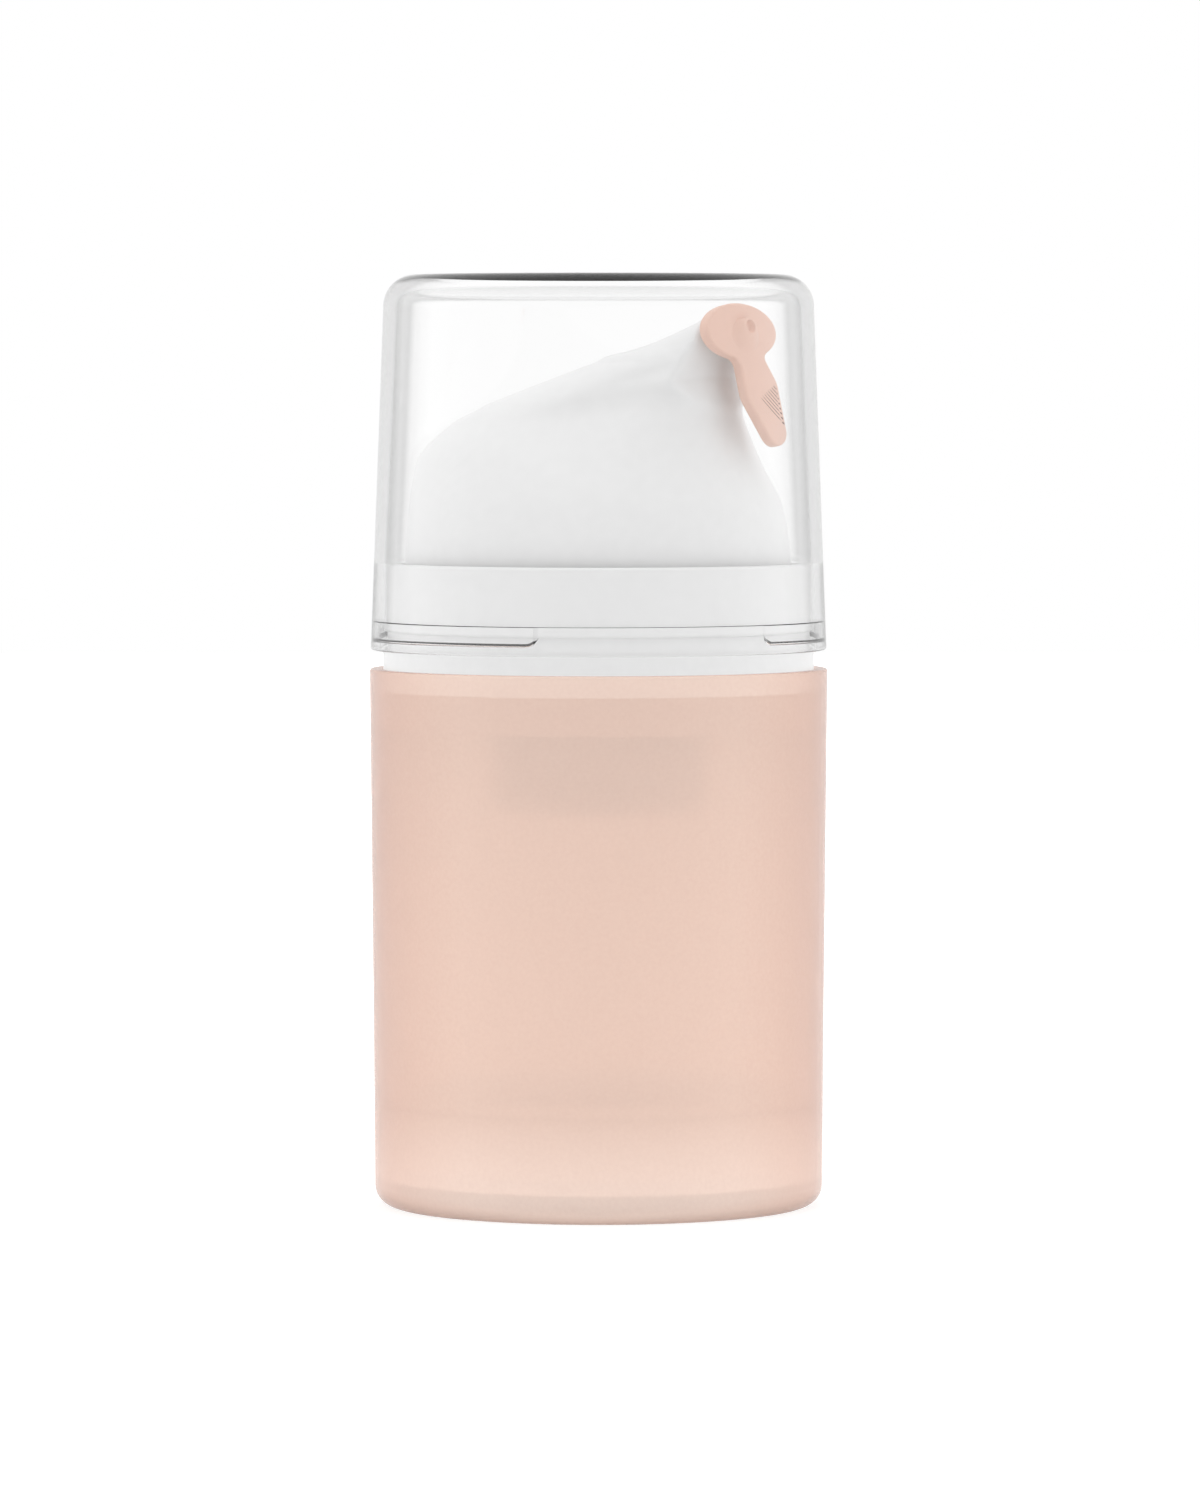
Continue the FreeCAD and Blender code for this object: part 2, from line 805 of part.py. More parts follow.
def make_return_spring():
    """One unbroken wire wound round the guide, between the guide's flange and the head's core."""
    wire = dim.spring_wire.value
    end_room = wire / 2 + dim.spring_end_gap.value
    foot = guide_flange_top.value + end_room
    pitch = (dim.spring_length.value - 2 * end_room) / dim.spring_turns.value
    radius = dim.spring_radius.value
    quarter = math.pi / 2
    quarters = round(4 * dim.spring_turns.value)
    edges = []
    for i in range(quarters):
        start, start_way = helix_point(i * quarter, radius, foot, pitch)
        end, end_way = helix_point((i + 1) * quarter, radius, foot, pitch)
        edges += biarc(start, start_way, end, end_way)
    start, start_way = helix_point(0, radius, foot, pitch)
    section = Part.Wire([Part.Circle(start, start_way, wire / 2).toShape()])
    samples = 24
    centre_line = [helix_point(2 * math.pi * i / samples, radius, foot, pitch)[0]
                   for i in range(samples * quarters // 4 + 1)]
    print(f"return_spring least gap to itself: {least_turn_gap(centre_line, wire, samples // 2):.2f} mm")
    spring = doc.addObject("Part::Feature", "return_spring")
    spring.Label = "return_spring"
    spring.Shape = Part.Wire(edges).makePipeShell([section], True, False)
    return spring


# Head

def head_section(body, name, level, section, inset, purpose):
    """One level section of the head, drawn inside its outline by an inset."""
    rear = getattr(dim, f"{section}_rear")
    front = getattr(dim, f"{section}_front")
    side = getattr(dim, f"{section}_side")
    nose = getattr(dim, f"{section}_nose")
    sketch = new_sketch(body, f"{purpose}_{name}", "XY_Plane", level=level)
    egg(sketch,
        rear + inset - head_radius,
        head_radius - front - inset,
        head_radius - side - inset,
        head_radius - nose - inset)
    return sketch


def lofted(body, kind, name, sketches):
    """A smooth loft through level sections."""
    loft = body.newObject(kind, name)
    loft.Profile = sketches[0]
    loft.Sections = sketches[1:]
    return loft


def make_head_form():
    """The hollow head without its spout: level sections that close towards the tip."""
    body = new_body("head_form")
    outside = [head_section(body, "foot", head_foot, "base", as_size(0), "head")]
    inside = [head_section(body, "foot", head_foot, "base", dim.head_wall, "hollow")]
    for section in HEAD_SECTIONS:
        level = nozzle_level - getattr(dim, f"{section}_drop")
        outside.append(head_section(body, section, level, section, as_size(0), "head"))
        thicken = getattr(dim, f"{section}_thicken")
        if thicken.value > 0:
            inside.append(head_section(body, section, level, section, dim.head_wall * thicken, "hollow"))
    lofted(body, "PartDesign::AdditiveLoft", "head_outside", outside)
    lofted(body, "PartDesign::SubtractiveLoft", "head_inside", inside)
    turn_round(body, dim.spout_turn)
    return body


def make_barrel():
    """The spout's oval barrel, from the nozzle's face back into the head."""
    body = new_body("spout_barrel")
    sketch = new_sketch(body, "barrel_section", "XY_Plane")
    oval(sketch, dim.nozzle_half_width, dim.nozzle_half_height, dim.nozzle_end_radius)
    padded(body, sketch, dim.barrel_length, reversed_side=True)
    set_on_spout(body, as_size(0))
    return body


def make_actuator_shell():
    whole = doc.addObject("Part::Fuse", "head_and_spout")
    whole.Base = make_head_form()
    whole.Tool = make_barrel()
    axis_length = nozzle_reach / cosine(dim.spout_rise)
    outlet = rod("outlet_channel", dim.outlet_bore, axis_length + dim.tip_length)
    set_on_spout(outlet, -axis_length)
    tip_seat = rod("tip_seat", dim.tip_radius + dim.push_fit, dim.tip_length * 2)
    set_on_spout(tip_seat, -dim.tip_length)
    neck_seat = rod("neck_seat", dim.neck_radius + dim.push_fit, neck_top - collar_top)
    neck_seat.setExpression("Placement.Base.z", collar_top.text)
    bored = cut("shell_with_outlet", whole, outlet)
    seated = cut("shell_with_tip_seat", bored, tip_seat)
    return cut("actuator_shell", seated, neck_seat)


def make_actuator_core():
    socket = dim.stem_radius + dim.running_fit
    socket_top = stem_top + dim.ball_lift + dim.ball_stop
    outside = socket + dim.socket_wall
    return turned("actuator_core", [
        (socket, core_foot),
        (dim.core_flange_radius, core_foot),
        (dim.core_flange_radius, core_foot + dim.core_flange),
        (outside, core_foot + dim.core_flange),
        (outside, socket_top + dim.socket_roof),
        (dim.neck_radius, socket_top + dim.socket_roof),
        (dim.neck_radius, neck_top),
        (dim.neck_bore, neck_top),
        (dim.neck_bore, socket_top),
        (socket, socket_top),
    ])


def make_nozzle_tip():
    body = turned("nozzle_tip", [
        (dim.tip_orifice, -dim.tip_length),
        (dim.tip_radius, -dim.tip_length),
        (dim.tip_radius, 0),
        (dim.tip_orifice, 0),
    ])
    set_on_spout(body, as_size(0))
    return body


def make_nozzle_plug():
    """Oval button with a pin in the nozzle, a dimpled boss and a tail to pull it by."""
    body = new_body("nozzle_plug")
    button = new_sketch(body, "plug_button", "XY_Plane")
    oval(button, dim.plug_half_width, dim.plug_half_height, dim.plug_end_radius)
    padded(body, button, dim.plug_thickness)
    tail = new_sketch(body, "plug_tail", "XY_Plane", turn=dim.tail_turn)
    egg(tail, -dim.tail_half_width, dim.tail_reach, dim.tail_half_width, dim.tail_nose)
    padded(body, tail, dim.plug_thickness)
    pin = new_sketch(body, "plug_pin", "XY_Plane")
    circle(pin, dim.tip_orifice - dim.running_fit)
    padded(body, pin, dim.pin_length, reversed_side=True)
    boss = new_sketch(body, "plug_boss", "XY_Plane", level=dim.plug_thickness)
    circle(boss, dim.boss_radius)
    cone = padded(body, boss, dim.boss_height)
    cone.setExpression("TaperAngle", (-dim.boss_taper).text)
    dimple = new_sketch(body, "plug_dimple", "XY_Plane", level=dim.plug_thickness + dim.boss_height)
    circle(dimple, dim.dimple_radius)
    well = body.newObject("PartDesign::Pocket", "plug_dimple_cut")
    well.Profile = dimple
    well.setExpression("Length", dim.dimple_depth.text)
    set_on_spout(body, dim.plug_gap)
    return body


def make_overcap():
    top = nozzle_level + dim.cap_headroom
    foot_radius = dim.bottle_top_radius - dim.cap_step
    top_radius = foot_radius - dim.cap_draft
    inside_corner = dim.cap_corner - dim.cap_wall
    shoulder_bore = band_radius + dim.cap_fit
    rim_bore = collar_radius + dim.cap_rim_gap
    body = turned("overcap", [
        (rim_bore, ring_top),
        (foot_radius, ring_top),
        (top_radius, top, dim.cap_corner),
        (0, top),
        (0, top - dim.cap_roof),
        (top_radius - dim.cap_wall, top - dim.cap_roof, inside_corner),
        (shoulder_bore, collar_top),
        (shoulder_bore, bead_top),
        (rim_bore, bead_top),
    ])
    sketch = new_sketch(body, "snap_pocket", "XZ_Plane")
    pocket_foot = ring_top + dim.pocket_lip
    inner_edge = rim_bore - dim.cap_rim_gap
    outline(sketch, [
        (inner_edge, pocket_foot),
        (rim_bore + dim.pocket_depth, pocket_foot),
        (rim_bore + dim.pocket_depth, bead_top),
        (inner_edge, bead_top),
    ])
    pocket = body.newObject("PartDesign::Groove", "snap_pocket_cut")
    pocket.Profile = sketch
    pocket.ReferenceAxis = (sketch, ["V_Axis"])
    pocket.setExpression("Angle", dim.pocket_angle.text)
    pocket.Midplane = True
    repeated(body, pocket, dim.pocket_count, full_turn)
    turn_round(body, dim.pocket_turn)
    return body


def write_parts(pieces):
    """Check every object of the document, then write one file for each piece."""
    doc.recompute()
    for item in doc.Objects:
        if "Invalid" in item.State or "Error" in item.State:
            raise RuntimeError(f"{item.Name} failed: {item.State} {item.getStatusString()}")
    for piece in pieces:
        if piece.Shape.isNull() or not piece.Shape.isValid() or not piece.Shape.Solids:
            raise RuntimeError(f"{piece.Label} has no valid solid")
    os.makedirs("parts", exist_ok=True)
    for piece in pieces:
        piece.Shape.exportStep(f"parts/{piece.Label}.step")
        box = piece.Shape.BoundBox
        print(f"{piece.Label}: {len(piece.Shape.Solids)} solid, {piece.Shape.Volume:.1f} mm3, "
              f"z {box.ZMin:.2f} to {box.ZMax:.2f}")


write_parts([
    make_outer_bottle(),
    make_inner_bottle(),
    make_follower_piston(),
    make_collar(),
    make_pump_gasket(),
    make_pump_housing(),
    make_inlet_valve(),
    make_inlet_cage(),
    make_pump_piston(),
    make_piston_seat(),
    make_pump_stem(),
    make_stem_guide(),
    make_stem_seal(),
    make_return_spring(),
    make_outlet_valve(),
    make_actuator_shell(),
    make_actuator_core(),
    make_nozzle_tip(),
    make_nozzle_plug(),
    make_overcap(),
])
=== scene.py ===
"""Airless pump bottle: smooth surfaces, finishes and a small studio round the packed part."""

import json
import math

import bmesh
import bpy
import numpy as np
from bpy.props import FloatProperty, FloatVectorProperty, IntProperty, PointerProperty
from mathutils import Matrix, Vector


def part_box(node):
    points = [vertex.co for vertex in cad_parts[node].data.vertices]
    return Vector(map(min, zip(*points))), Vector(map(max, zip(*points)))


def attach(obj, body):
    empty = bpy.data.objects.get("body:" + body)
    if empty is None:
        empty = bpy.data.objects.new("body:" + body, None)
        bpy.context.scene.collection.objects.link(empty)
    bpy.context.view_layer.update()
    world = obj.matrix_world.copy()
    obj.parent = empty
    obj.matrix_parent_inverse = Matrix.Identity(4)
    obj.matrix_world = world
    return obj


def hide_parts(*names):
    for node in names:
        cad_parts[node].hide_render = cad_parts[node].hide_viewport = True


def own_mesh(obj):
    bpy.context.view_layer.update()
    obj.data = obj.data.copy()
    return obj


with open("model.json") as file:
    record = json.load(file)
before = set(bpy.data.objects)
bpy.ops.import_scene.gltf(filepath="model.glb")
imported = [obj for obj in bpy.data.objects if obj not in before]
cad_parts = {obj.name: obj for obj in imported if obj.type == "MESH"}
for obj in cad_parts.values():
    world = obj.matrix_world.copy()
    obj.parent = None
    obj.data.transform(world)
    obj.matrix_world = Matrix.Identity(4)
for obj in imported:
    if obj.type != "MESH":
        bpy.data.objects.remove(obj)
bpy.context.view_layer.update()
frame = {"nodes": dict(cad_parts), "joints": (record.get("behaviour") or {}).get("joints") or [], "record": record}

bl_info = {
    "name": "Airless pump bottle",
    "version": (1, 0, 0),
    "blender": (4, 5, 0),
    "location": "3D View > Sidebar > Bottle",
    "description": "Builds the visible surfaces, finishes and studio of an airless pump bottle",
    "category": "Object",
}

MM = 0.001
MERGE_DISTANCE = 1e-7
SHARP_ANGLE = math.radians(34)
PHOTO_SIZE = (1200, 1500)

# Level sections of the head in millimetres: height above the collar, then the rear end, the
# tip, the half width and the tip's radius along the spout's direction
HEAD_SECTIONS = np.array([
    (-6.0, -18.60, 18.50, 18.40, 18.20),
    (0.0, -18.60, 18.50, 18.40, 18.20),
    (5.2, -18.45, 18.00, 17.60, 16.50),
    (9.7, -18.20, 16.40, 15.40, 12.30),
    (13.4, -14.80, 15.30, 12.00, 9.10),
    (16.25, -7.50, 14.80, 9.20, 6.50),
    (19.3, 2.00, 14.40, 6.10, 4.80),
]) * MM

# Painted shade that darkens clear plastic where it is seen at a slant: facing share, then tint
PAINTED_SLANT_SHADE = ((0.42, 1.0), (0.50, 0.92), (0.57, 0.84), (0.64, 0.50), (0.72, 0.55))
# Colour of the painted shade along the lower edge of the cap's snap pockets
POCKET_SHADE_PAINT = (0.02, 0.02, 0.02, 1)

# Share of a moulding's roughness by which it varies, and where a mottle's two colours lie
GLOSS_SPREAD = 0.15
MOTTLE_SPAN = (0.3, 0.7)

# Slant over which painted shade deepens the outer wall's colour from facing to slanting
PAINTED_EDGE_SHADE_SPAN = (0.2, 0.9)

# Circles of the tail at its neck, its widest place and its tip, in millimetres: distance from the
# button's middle, then radius
TAIL_CIRCLES = np.array([
    (2.8, 1.85),
    (5.9, 2.55),
    (9.95, 1.5),
]) * MM

# Corners of the grip patch on the tail, in millimetres: across the tail, then along it
GRIP_CORNERS = np.array([
    (-0.77, 6.37),
    (2.10, 5.90),
    (1.35, 9.76),
]) * MM

# Boss on the plug's button, from its foot up: share of its spread, then of its height
BOSS_PROFILE = np.array([(1.1, 0.0), (1.0, 0.02), (0.88, 0.12), (0.5, 0.5), (0.12, 0.92), (0.0, 1.0)])

# Dimple in the boss, from its edge in: share of its radius, then of its depth
DIMPLE_PROFILE = np.array([(1.12, 0.0), (1.0, 0.2), (0.8, 0.7), (0.5, 0.97), (0.0, 1.0)])

# Ridge of the spout, as shares: how much it narrows and lowers towards the rear, and how far its
# sides spread and recede as they go down
RIDGE_NARROWING = 0.7
RIDGE_LOWERING = 0.92
RIDGE_SPREAD = 0.35
RIDGE_RECESS = 0.9

# Dark sleeve, a painted shade on the collar's skirt and between the teeth, and grip teeth: how
# far they stand out from the collar's skirt and go into it, the share of the teeth's depth at
# which the sleeve lies behind them, and the columns of each tooth
SKIRT_PROUD = 0.02 * MM
SLEEVE_SINK = 0.05 * MM
TEETH_SINK = 0.1 * MM
BEHIND_TEETH = 0.7
COLUMNS_PER_TOOTH = 6

# Return spring: room for its ends and level of its first coil in wire diameters, and how far
# its coils close up at both ends
SPRING_ENDS = 1.05
SPRING_SEAT = 0.52
SPRING_CLOSING = 0.55

# Floor: half its width, paleness and roughness, and how it turns white away from the bottle
FLOOR_REACH = 1.5
FLOOR_PALENESS = 0.9
FLOOR_ROUGHNESS = 0.7
SHADOW_SPAN = (0.05, 0.3)
SHADOW_SHOWN = (0.25, 1.0)

# Directions between which reflections turn from the dim front to white
GLOSS_SPAN = (-0.5, 0.2)


def mm(name, description, millimetres):
    """A length whose default is given in millimetres."""
    default = millimetres * MM
    return FloatProperty(name=name, description=description, default=default, precision=5, unit="LENGTH")


def degrees(name, description, value):
    """An angle whose default is given in degrees."""
    return FloatProperty(name=name, description=description, default=math.radians(value), unit="ROTATION")


def plain(name, description, value):
    """A number without a unit."""
    return FloatProperty(name=name, description=description, default=value)


def count(name, description, value):
    """A whole number."""
    return IntProperty(name=name, description=description, default=value)


def tint(name, description, red, green, blue):
    """A colour whose default is given in 8-bit sRGB."""
    channels = np.array((red, green, blue)) / 255
    linear = np.where(channels <= 0.04045, channels / 12.92, ((channels + 0.055) / 1.055) ** 2.4)
    return FloatVectorProperty(name=name, description=description, default=tuple(linear.tolist()), size=3,
                               min=0.0, max=1.0, subtype="COLOR")


def top_of(node):
    """Highest level of a node, in millimetres."""
    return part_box(node)[1].z / MM


def foot_of(node):
    """Lowest level of a node, in millimetres."""
    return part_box(node)[0].z / MM


def radius_of(node):
    """Largest radius of a turned node, in millimetres."""
    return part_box(node)[1].x / MM


class BottleSizes(bpy.types.PropertyGroup):
    """Outer bottle, inner tube and collar."""

    rim: mm("Rim", "Level of the outer bottle's rim", top_of("outer_bottle"))
    rim_radius: mm("Rim radius", "Outside radius at the rim", radius_of("outer_bottle"))
    taper: mm("Taper", "How much less the radius is at the foot", 0.5)
    wall: mm("Wall", "Thickness of the outer wall", 1.2)
    recess: mm("Recess", "Height of the hollow under the foot", 1.2)
    floor: mm("Floor", "Thickness of the floor", 1.5)
    ring_width: mm("Foot ring", "Width of the ring that the bottle stands on", 5.0)
    foot_round: mm("Foot round", "Radius of the foot's outer edge", 2.0)
    rim_round: mm("Rim round", "Radius of the rim's edges", 0.25)
    vent_radius: mm("Vent", "Radius of the air vent in the floor", 1.25)
    tube_radius: mm("Tube radius", "Outside radius of the inner tube", radius_of("inner_bottle"))
    tube_wall: mm("Tube wall", "Thickness of the inner tube's wall", 0.8)
    tube_rim: mm("Tube rim", "Level of the inner tube's rim", top_of("inner_bottle"))
    tube_floor: mm("Tube floor", "Thickness of the inner tube's floor", 1.0)
    tube_vent: mm("Tube vent", "Radius of the opening in the tube's floor", 2.5)
    collar_foot: mm("Collar foot", "Lowest level of the collar's skirt", foot_of("collar"))
    collar_top: mm("Collar top", "Level of the collar's rim", top_of("collar"))
    collar_radius: mm("Collar radius", "Radius of the collar's ring and bead", radius_of("collar"))
    ring_top: mm("Ring top", "Level that the cap rests on", foot_of("overcap"))
    seat_depth: mm("Snap seat", "Depth of the groove over the ring", 0.4)
    seat_height: mm("Snap seat height", "Height of the groove over the ring", 1.7)
    bead_height: mm("Bead", "Height of the snap bead", 1.0)
    band_step: mm("Band step", "How far the band lies inside the bead", 0.3)
    band_wall: mm("Band wall", "Thickness of the band round the head", 1.2)
    ledge_bore: mm("Ledge bore", "Radius of the opening over the pump", 12.2)
    ledge_top: mm("Ledge top", "Level of the ledge's upper face", 50.5)
    ledge_thickness: mm("Ledge", "Thickness of the ledge", 1.2)
    collar_round: mm("Collar round", "Radius of the collar's visible edges", 0.3)
    sleeve_top: mm("Sleeve top", "Highest level of the sleeve on the collar's skirt", 49.6)
    knurl_foot: mm("Knurl foot", "Lowest level of the grip teeth under the rim", 49.75)
    knurl_height: mm("Knurl height", "Height of the grip teeth", 0.75)
    knurl_depth: mm("Knurl depth", "Depth between the grip teeth", 0.5)
    knurl_teeth: count("Knurl teeth", "Number of grip teeth round the collar", 210)


class HeadSizes(bpy.types.PropertyGroup):
    """Push head and its spout."""

    foot: mm("Foot", "Lowest level of the head", foot_of("actuator_shell"))
    wall: mm("Wall", "Thickness of the head's wall", 1.2)
    hollow_top: mm("Hollow top", "Height of the hollow above the collar", 12.0)
    middle: mm("Middle", "Height above the collar from which the crown is rounded", 9.0)
    crown_round: mm("Crown round", "Rounding between the crown and its sides", 1.6)
    ridge_half_width: mm("Ridge half width", "Half width of the spout at its mouth", 5.0)
    ridge_half_height: mm("Ridge half height", "Half height of the spout at its mouth", 2.0)
    ridge_length: mm("Ridge length", "Length of the spout's ridge along the crown", 24.0)
    ridge_sides: mm("Ridge sides", "Height of the ridge's sides under the mouth", 4.0)
    ridge_round: mm("Ridge round", "Rounding of the ridge's ends", 0.8)
    ridge_blend: mm("Ridge blend", "Rounding between the ridge and the crown", 2.5)
    ridge_sink: mm("Ridge sink", "How far the ridge sinks in the crown towards the rear", 2.0)
    tip_length: mm("Tip length", "Length of the nozzle's insert", 3.0)


class PlugSizes(bpy.types.PropertyGroup):
    """Transport plug in the nozzle."""

    half_width: mm("Half width", "Half the button's width", 5.35)
    half_height: mm("Half height", "Half the button's height", 2.72)
    thickness: mm("Thickness", "Thickness of the button and the tail", 1.0)
    edge_round: mm("Edge round", "Radius of the plug's edges", 0.25)
    neck_round: mm("Neck round", "Fillet between the button and the tail", 1.0)
    gap: mm("Gap", "Room between the nozzle and the button", 0.05)
    boss_half_width: mm("Boss half width", "Half width of the boss at its foot", 2.0)
    boss_half_height: mm("Boss half height", "Half height of the boss at its foot", 1.7)
    boss_height: mm("Boss height", "Height of the boss over the button", 0.75)
    boss_aside: mm("Boss aside", "Sideways place of the boss", 0.4)
    boss_drop: mm("Boss drop", "How far the boss's foot lies below the middle", 0.4)
    boss_lean: mm("Boss lean", "How far the boss leans up", 0.7)
    boss_top: mm("Boss top", "Radius of the boss's top", 0.85)
    dimple_radius: mm("Dimple radius", "Radius of the dimple in the boss", 0.58)
    dimple_depth: mm("Dimple depth", "Depth of the dimple", 0.4)
    pin_radius: mm("Pin radius", "Radius of the pin in the nozzle", 0.95)
    pin_length: mm("Pin length", "Length of the pin in the nozzle", 2.5)
    rib_width: mm("Rib width", "Width of the tail's grip ribs at their thick end", 0.16)
    rib_height: mm("Rib height", "How far the grip ribs stand out", 0.06)
    rib_count: count("Ribs", "Number of grip ribs on the tail", 8)


class CapSizes(bpy.types.PropertyGroup):
    """Clear overcap."""

    top: mm("Top", "Highest level of the cap", top_of("overcap"))
    foot: mm("Foot", "Level of the cap's rim", foot_of("overcap"))
    foot_radius: mm("Foot radius", "Outside radius at the rim", radius_of("overcap"))
    draft: mm("Draft", "How much less the radius is at the top", 1.35)
    corner: mm("Corner", "Radius of the top's outer edge", 3.0)
    wall: mm("Wall", "Thickness of the side wall", 1.25)
    roof: mm("Roof", "Thickness of the top", 1.25)
    fit: mm("Fit", "Room between the cap and the collar's band", 0.1)
    rim_gap: mm("Rim gap", "Room between the cap's rim and the snap bead", 0.25)
    pocket_lip: mm("Pocket lip", "Height of the rim under the snap pockets", 0.8)
    pocket_depth: mm("Pocket depth", "Depth of the snap pockets", 0.4)
    pocket_round: mm("Pocket round", "Radius of the pockets' lower corners", 1.1)
    pocket_angle: degrees("Pocket angle", "Angle that each snap pocket takes", 118)
    pocket_turn: degrees("Pocket turn", "Direction of the first snap pocket", 15.5)
    pocket_count: count("Pockets", "Number of snap pockets", 2)


class SpringSizes(bpy.types.PropertyGroup):
    """Return spring round the stem."""

    radius: mm("Radius", "Radius of the coil at the middle of its wire", 5.7)
    wire: mm("Wire", "Diameter of the wire", 0.9)
    turns: plain("Turns", "Number of turns", 4.0)
    foot: mm("Foot", "Level of the seat under the spring", 50.3)
    keep: plain("Kept share", "Share of its length left at full stroke", 0.5)


class Finishes(bpy.types.PropertyGroup):
    """Colours of the finishes."""

    peach: tint("Frosted peach", "Translucent outer bottle", 254, 230, 217)
    # Tint of the light inside the outer wall, also used as the painted shade at its slanting edges
    deep_peach_and_edge_shade: tint("Deep peach", "Tint inside the outer bottle's wall", 214, 166, 147)
    plug_peach: tint("Plug peach", "Opaque transport plug", 223, 187, 171)
    # Painted shade: the grip ribs are dark for the shadow in the tail's grooves
    painted_rib_shade: tint("Rib shade", "Grip ribs on the plug's tail", 120, 88, 78)
    white: tint("White", "Head, collar and other white mouldings", 227, 227, 227)
    tube: tint("Tube", "Inner tube", 245, 240, 236)
    natural: tint("Natural", "Pump mouldings in natural plastic", 206, 179, 165)
    piston: tint("Piston white", "Follower and pump piston", 198, 174, 162)
    # Painted shade: a dark sleeve on the collar's skirt and in the gaps between its grip teeth
    painted_shade_sleeve: tint("Sleeve", "Sleeve on the collar's skirt", 178, 153, 141)
    seal: tint("Seal", "Soft seals", 214, 212, 206)
    steel: tint("Steel", "Spring wire and ball", 196, 196, 198)
    clear: tint("Clear", "Overcap", 255, 255, 255)


class Studio(bpy.types.PropertyGroup):
    """Camera and light."""

    distance: mm("Distance", "Camera to the bottle's axis", 790)
    eye: mm("Eye", "Height of the camera", 81)
    aim: mm("Aim", "Height that the camera looks at", 43.8)
    offset: mm("Offset", "Sideways place of the camera", 0.13)
    focal_pixels: plain("Focal length", "In pixels of the photograph", 8224.0)
    front: plain("Front light", "Strength of the light from in front", 0.5)
    sides: plain("Side light", "How much stronger it is from the sides", 0.92)
    above: plain("Top light", "How much stronger it is from above", 0.95)
    behind: plain("Back light", "How much stronger it is from behind", 0.1)
    front_gloss: plain("Front gloss", "What reflections show of the front", 0.45)


# Arrays and meshes

def unit(vector):
    """The same direction at length one."""
    return vector / np.linalg.norm(vector)


def rounded(corners, steps=7, support=0.12 * MM):
    """Outline through corners (radius, height, rounding): an arc that touches both sides takes
    the place of each rounded corner, with a support point beside it on either side."""
    corners = np.array([(*corner, 0.0)[:3] for corner in corners])
    outline = []
    for number, (across, level, rounding) in enumerate(corners):
        here = np.array((across, level))
        if rounding == 0:
            outline.append(here[None])
            continue
        before = unit(corners[number - 1, :2] - here)
        after = unit(corners[(number + 1) % len(corners), :2] - here)
        half = math.acos(float(before @ after)) / 2
        reach = rounding / math.tan(half)
        middle = here + unit(before + after) * rounding / math.sin(half)
        start = here + before * reach
        end = here + after * reach
        spread = math.pi - 2 * half
        share = np.linspace(0, 1, steps + 1)[:, None]
        arc = np.sin((1 - share) * spread) * (start - middle) + np.sin(share * spread) * (end - middle)
        outline.append((start + before * support)[None])
        outline.append(middle + arc / math.sin(spread))
        outline.append((end + after * support)[None])
    return np.concatenate(outline)


def full_turn(columns):
    """Angles of equal steps once round."""
    return np.linspace(0, 2 * math.pi, columns, endpoint=False)


def around_axis(radius, angle, level):
    """Points at a radius, an angle and a level about the bottle's axis."""
    return np.stack(np.broadcast_arrays(radius * np.cos(angle), radius * np.sin(angle), level), axis=-1)


def turned(section, columns=192):
    """Points of a section of (radius, height) turned about the bottle's axis."""
    return around_axis(section[:, :1], full_turn(columns), section[:, 1:])


def smooth_between(places, values, wanted):
    """Monotone cubic curve through the values at the places: slopes are harmonic means of the
    neighbouring chords, and zero where those change sign."""
    step = np.diff(places)
    chord = np.diff(values) / step
    same_way = chord[:-1] * chord[1:] > 0
    total = np.where(same_way, chord[:-1] + chord[1:], 1.0)
    inner = np.where(same_way, 2 * chord[:-1] * chord[1:] / total, 0.0)
    slope = np.concatenate([chord[:1], inner, chord[-1:]])
    wanted = np.clip(wanted, places[0], places[-1])
    piece = np.clip(np.searchsorted(places, wanted) - 1, 0, len(step) - 1)
    share = (wanted - places[piece]) / step[piece]
    back = 1 - share
    return ((1 + 2 * share) * back ** 2 * values[piece] + share * back ** 2 * step[piece] * slope[piece]
            + share ** 2 * (3 - 2 * share) * values[piece + 1]
            - share ** 2 * back * step[piece] * slope[piece + 1])


def soft_least(first, second, blend):
    """Smooth least of two distances: within blend of each other they are rounded together."""
    near = np.clip(blend - np.abs(first - second), 0, None) / blend
    return np.minimum(first, second) - near ** 2 * blend / 4


def soft_most(first, second, blend):
    """Smooth greatest of two distances."""
    return -soft_least(-first, -second, blend)


def new_surface(name, points, around=True, closed=False, shade=None):
    """Mesh object of a grid of points: quads join each row to the next and, where the grid goes
    around, the last column to the first. Rows that shrink to a point are merged. A painted shade
    of each point is kept as an attribute."""
    rows, columns = points.shape[:2]
    index = np.arange(rows * columns).reshape(rows, columns)
    if around:
        index = np.concatenate([index, index[:, :1]], axis=1)
    if closed:
        index = np.concatenate([index, index[:1]], axis=0)
    faces = np.stack([index[:-1, :-1], index[:-1, 1:], index[1:, 1:], index[1:, :-1]], axis=-1)
    mesh = bpy.data.meshes.new(name)
    mesh.from_pydata(points.reshape(-1, 3).tolist(), [], faces.reshape(-1, 4).tolist())
    if shade is not None:
        mesh.attributes.new("edge_shade", "FLOAT", "POINT").data.foreach_set("value", shade.ravel())
    shape = bmesh.new()
    shape.from_mesh(mesh)
    bmesh.ops.remove_doubles(shape, verts=shape.verts, dist=MERGE_DISTANCE)
    bmesh.ops.recalc_face_normals(shape, faces=shape.faces)
    shape.to_mesh(mesh)
    shape.free()
    mesh.polygons.foreach_set("use_smooth", np.ones(len(mesh.polygons), dtype=bool))
    mesh.set_sharp_from_angle(angle=SHARP_ANGLE)
    piece = bpy.data.objects.new(name, mesh)
    bpy.context.scene.collection.objects.link(piece)
    return piece


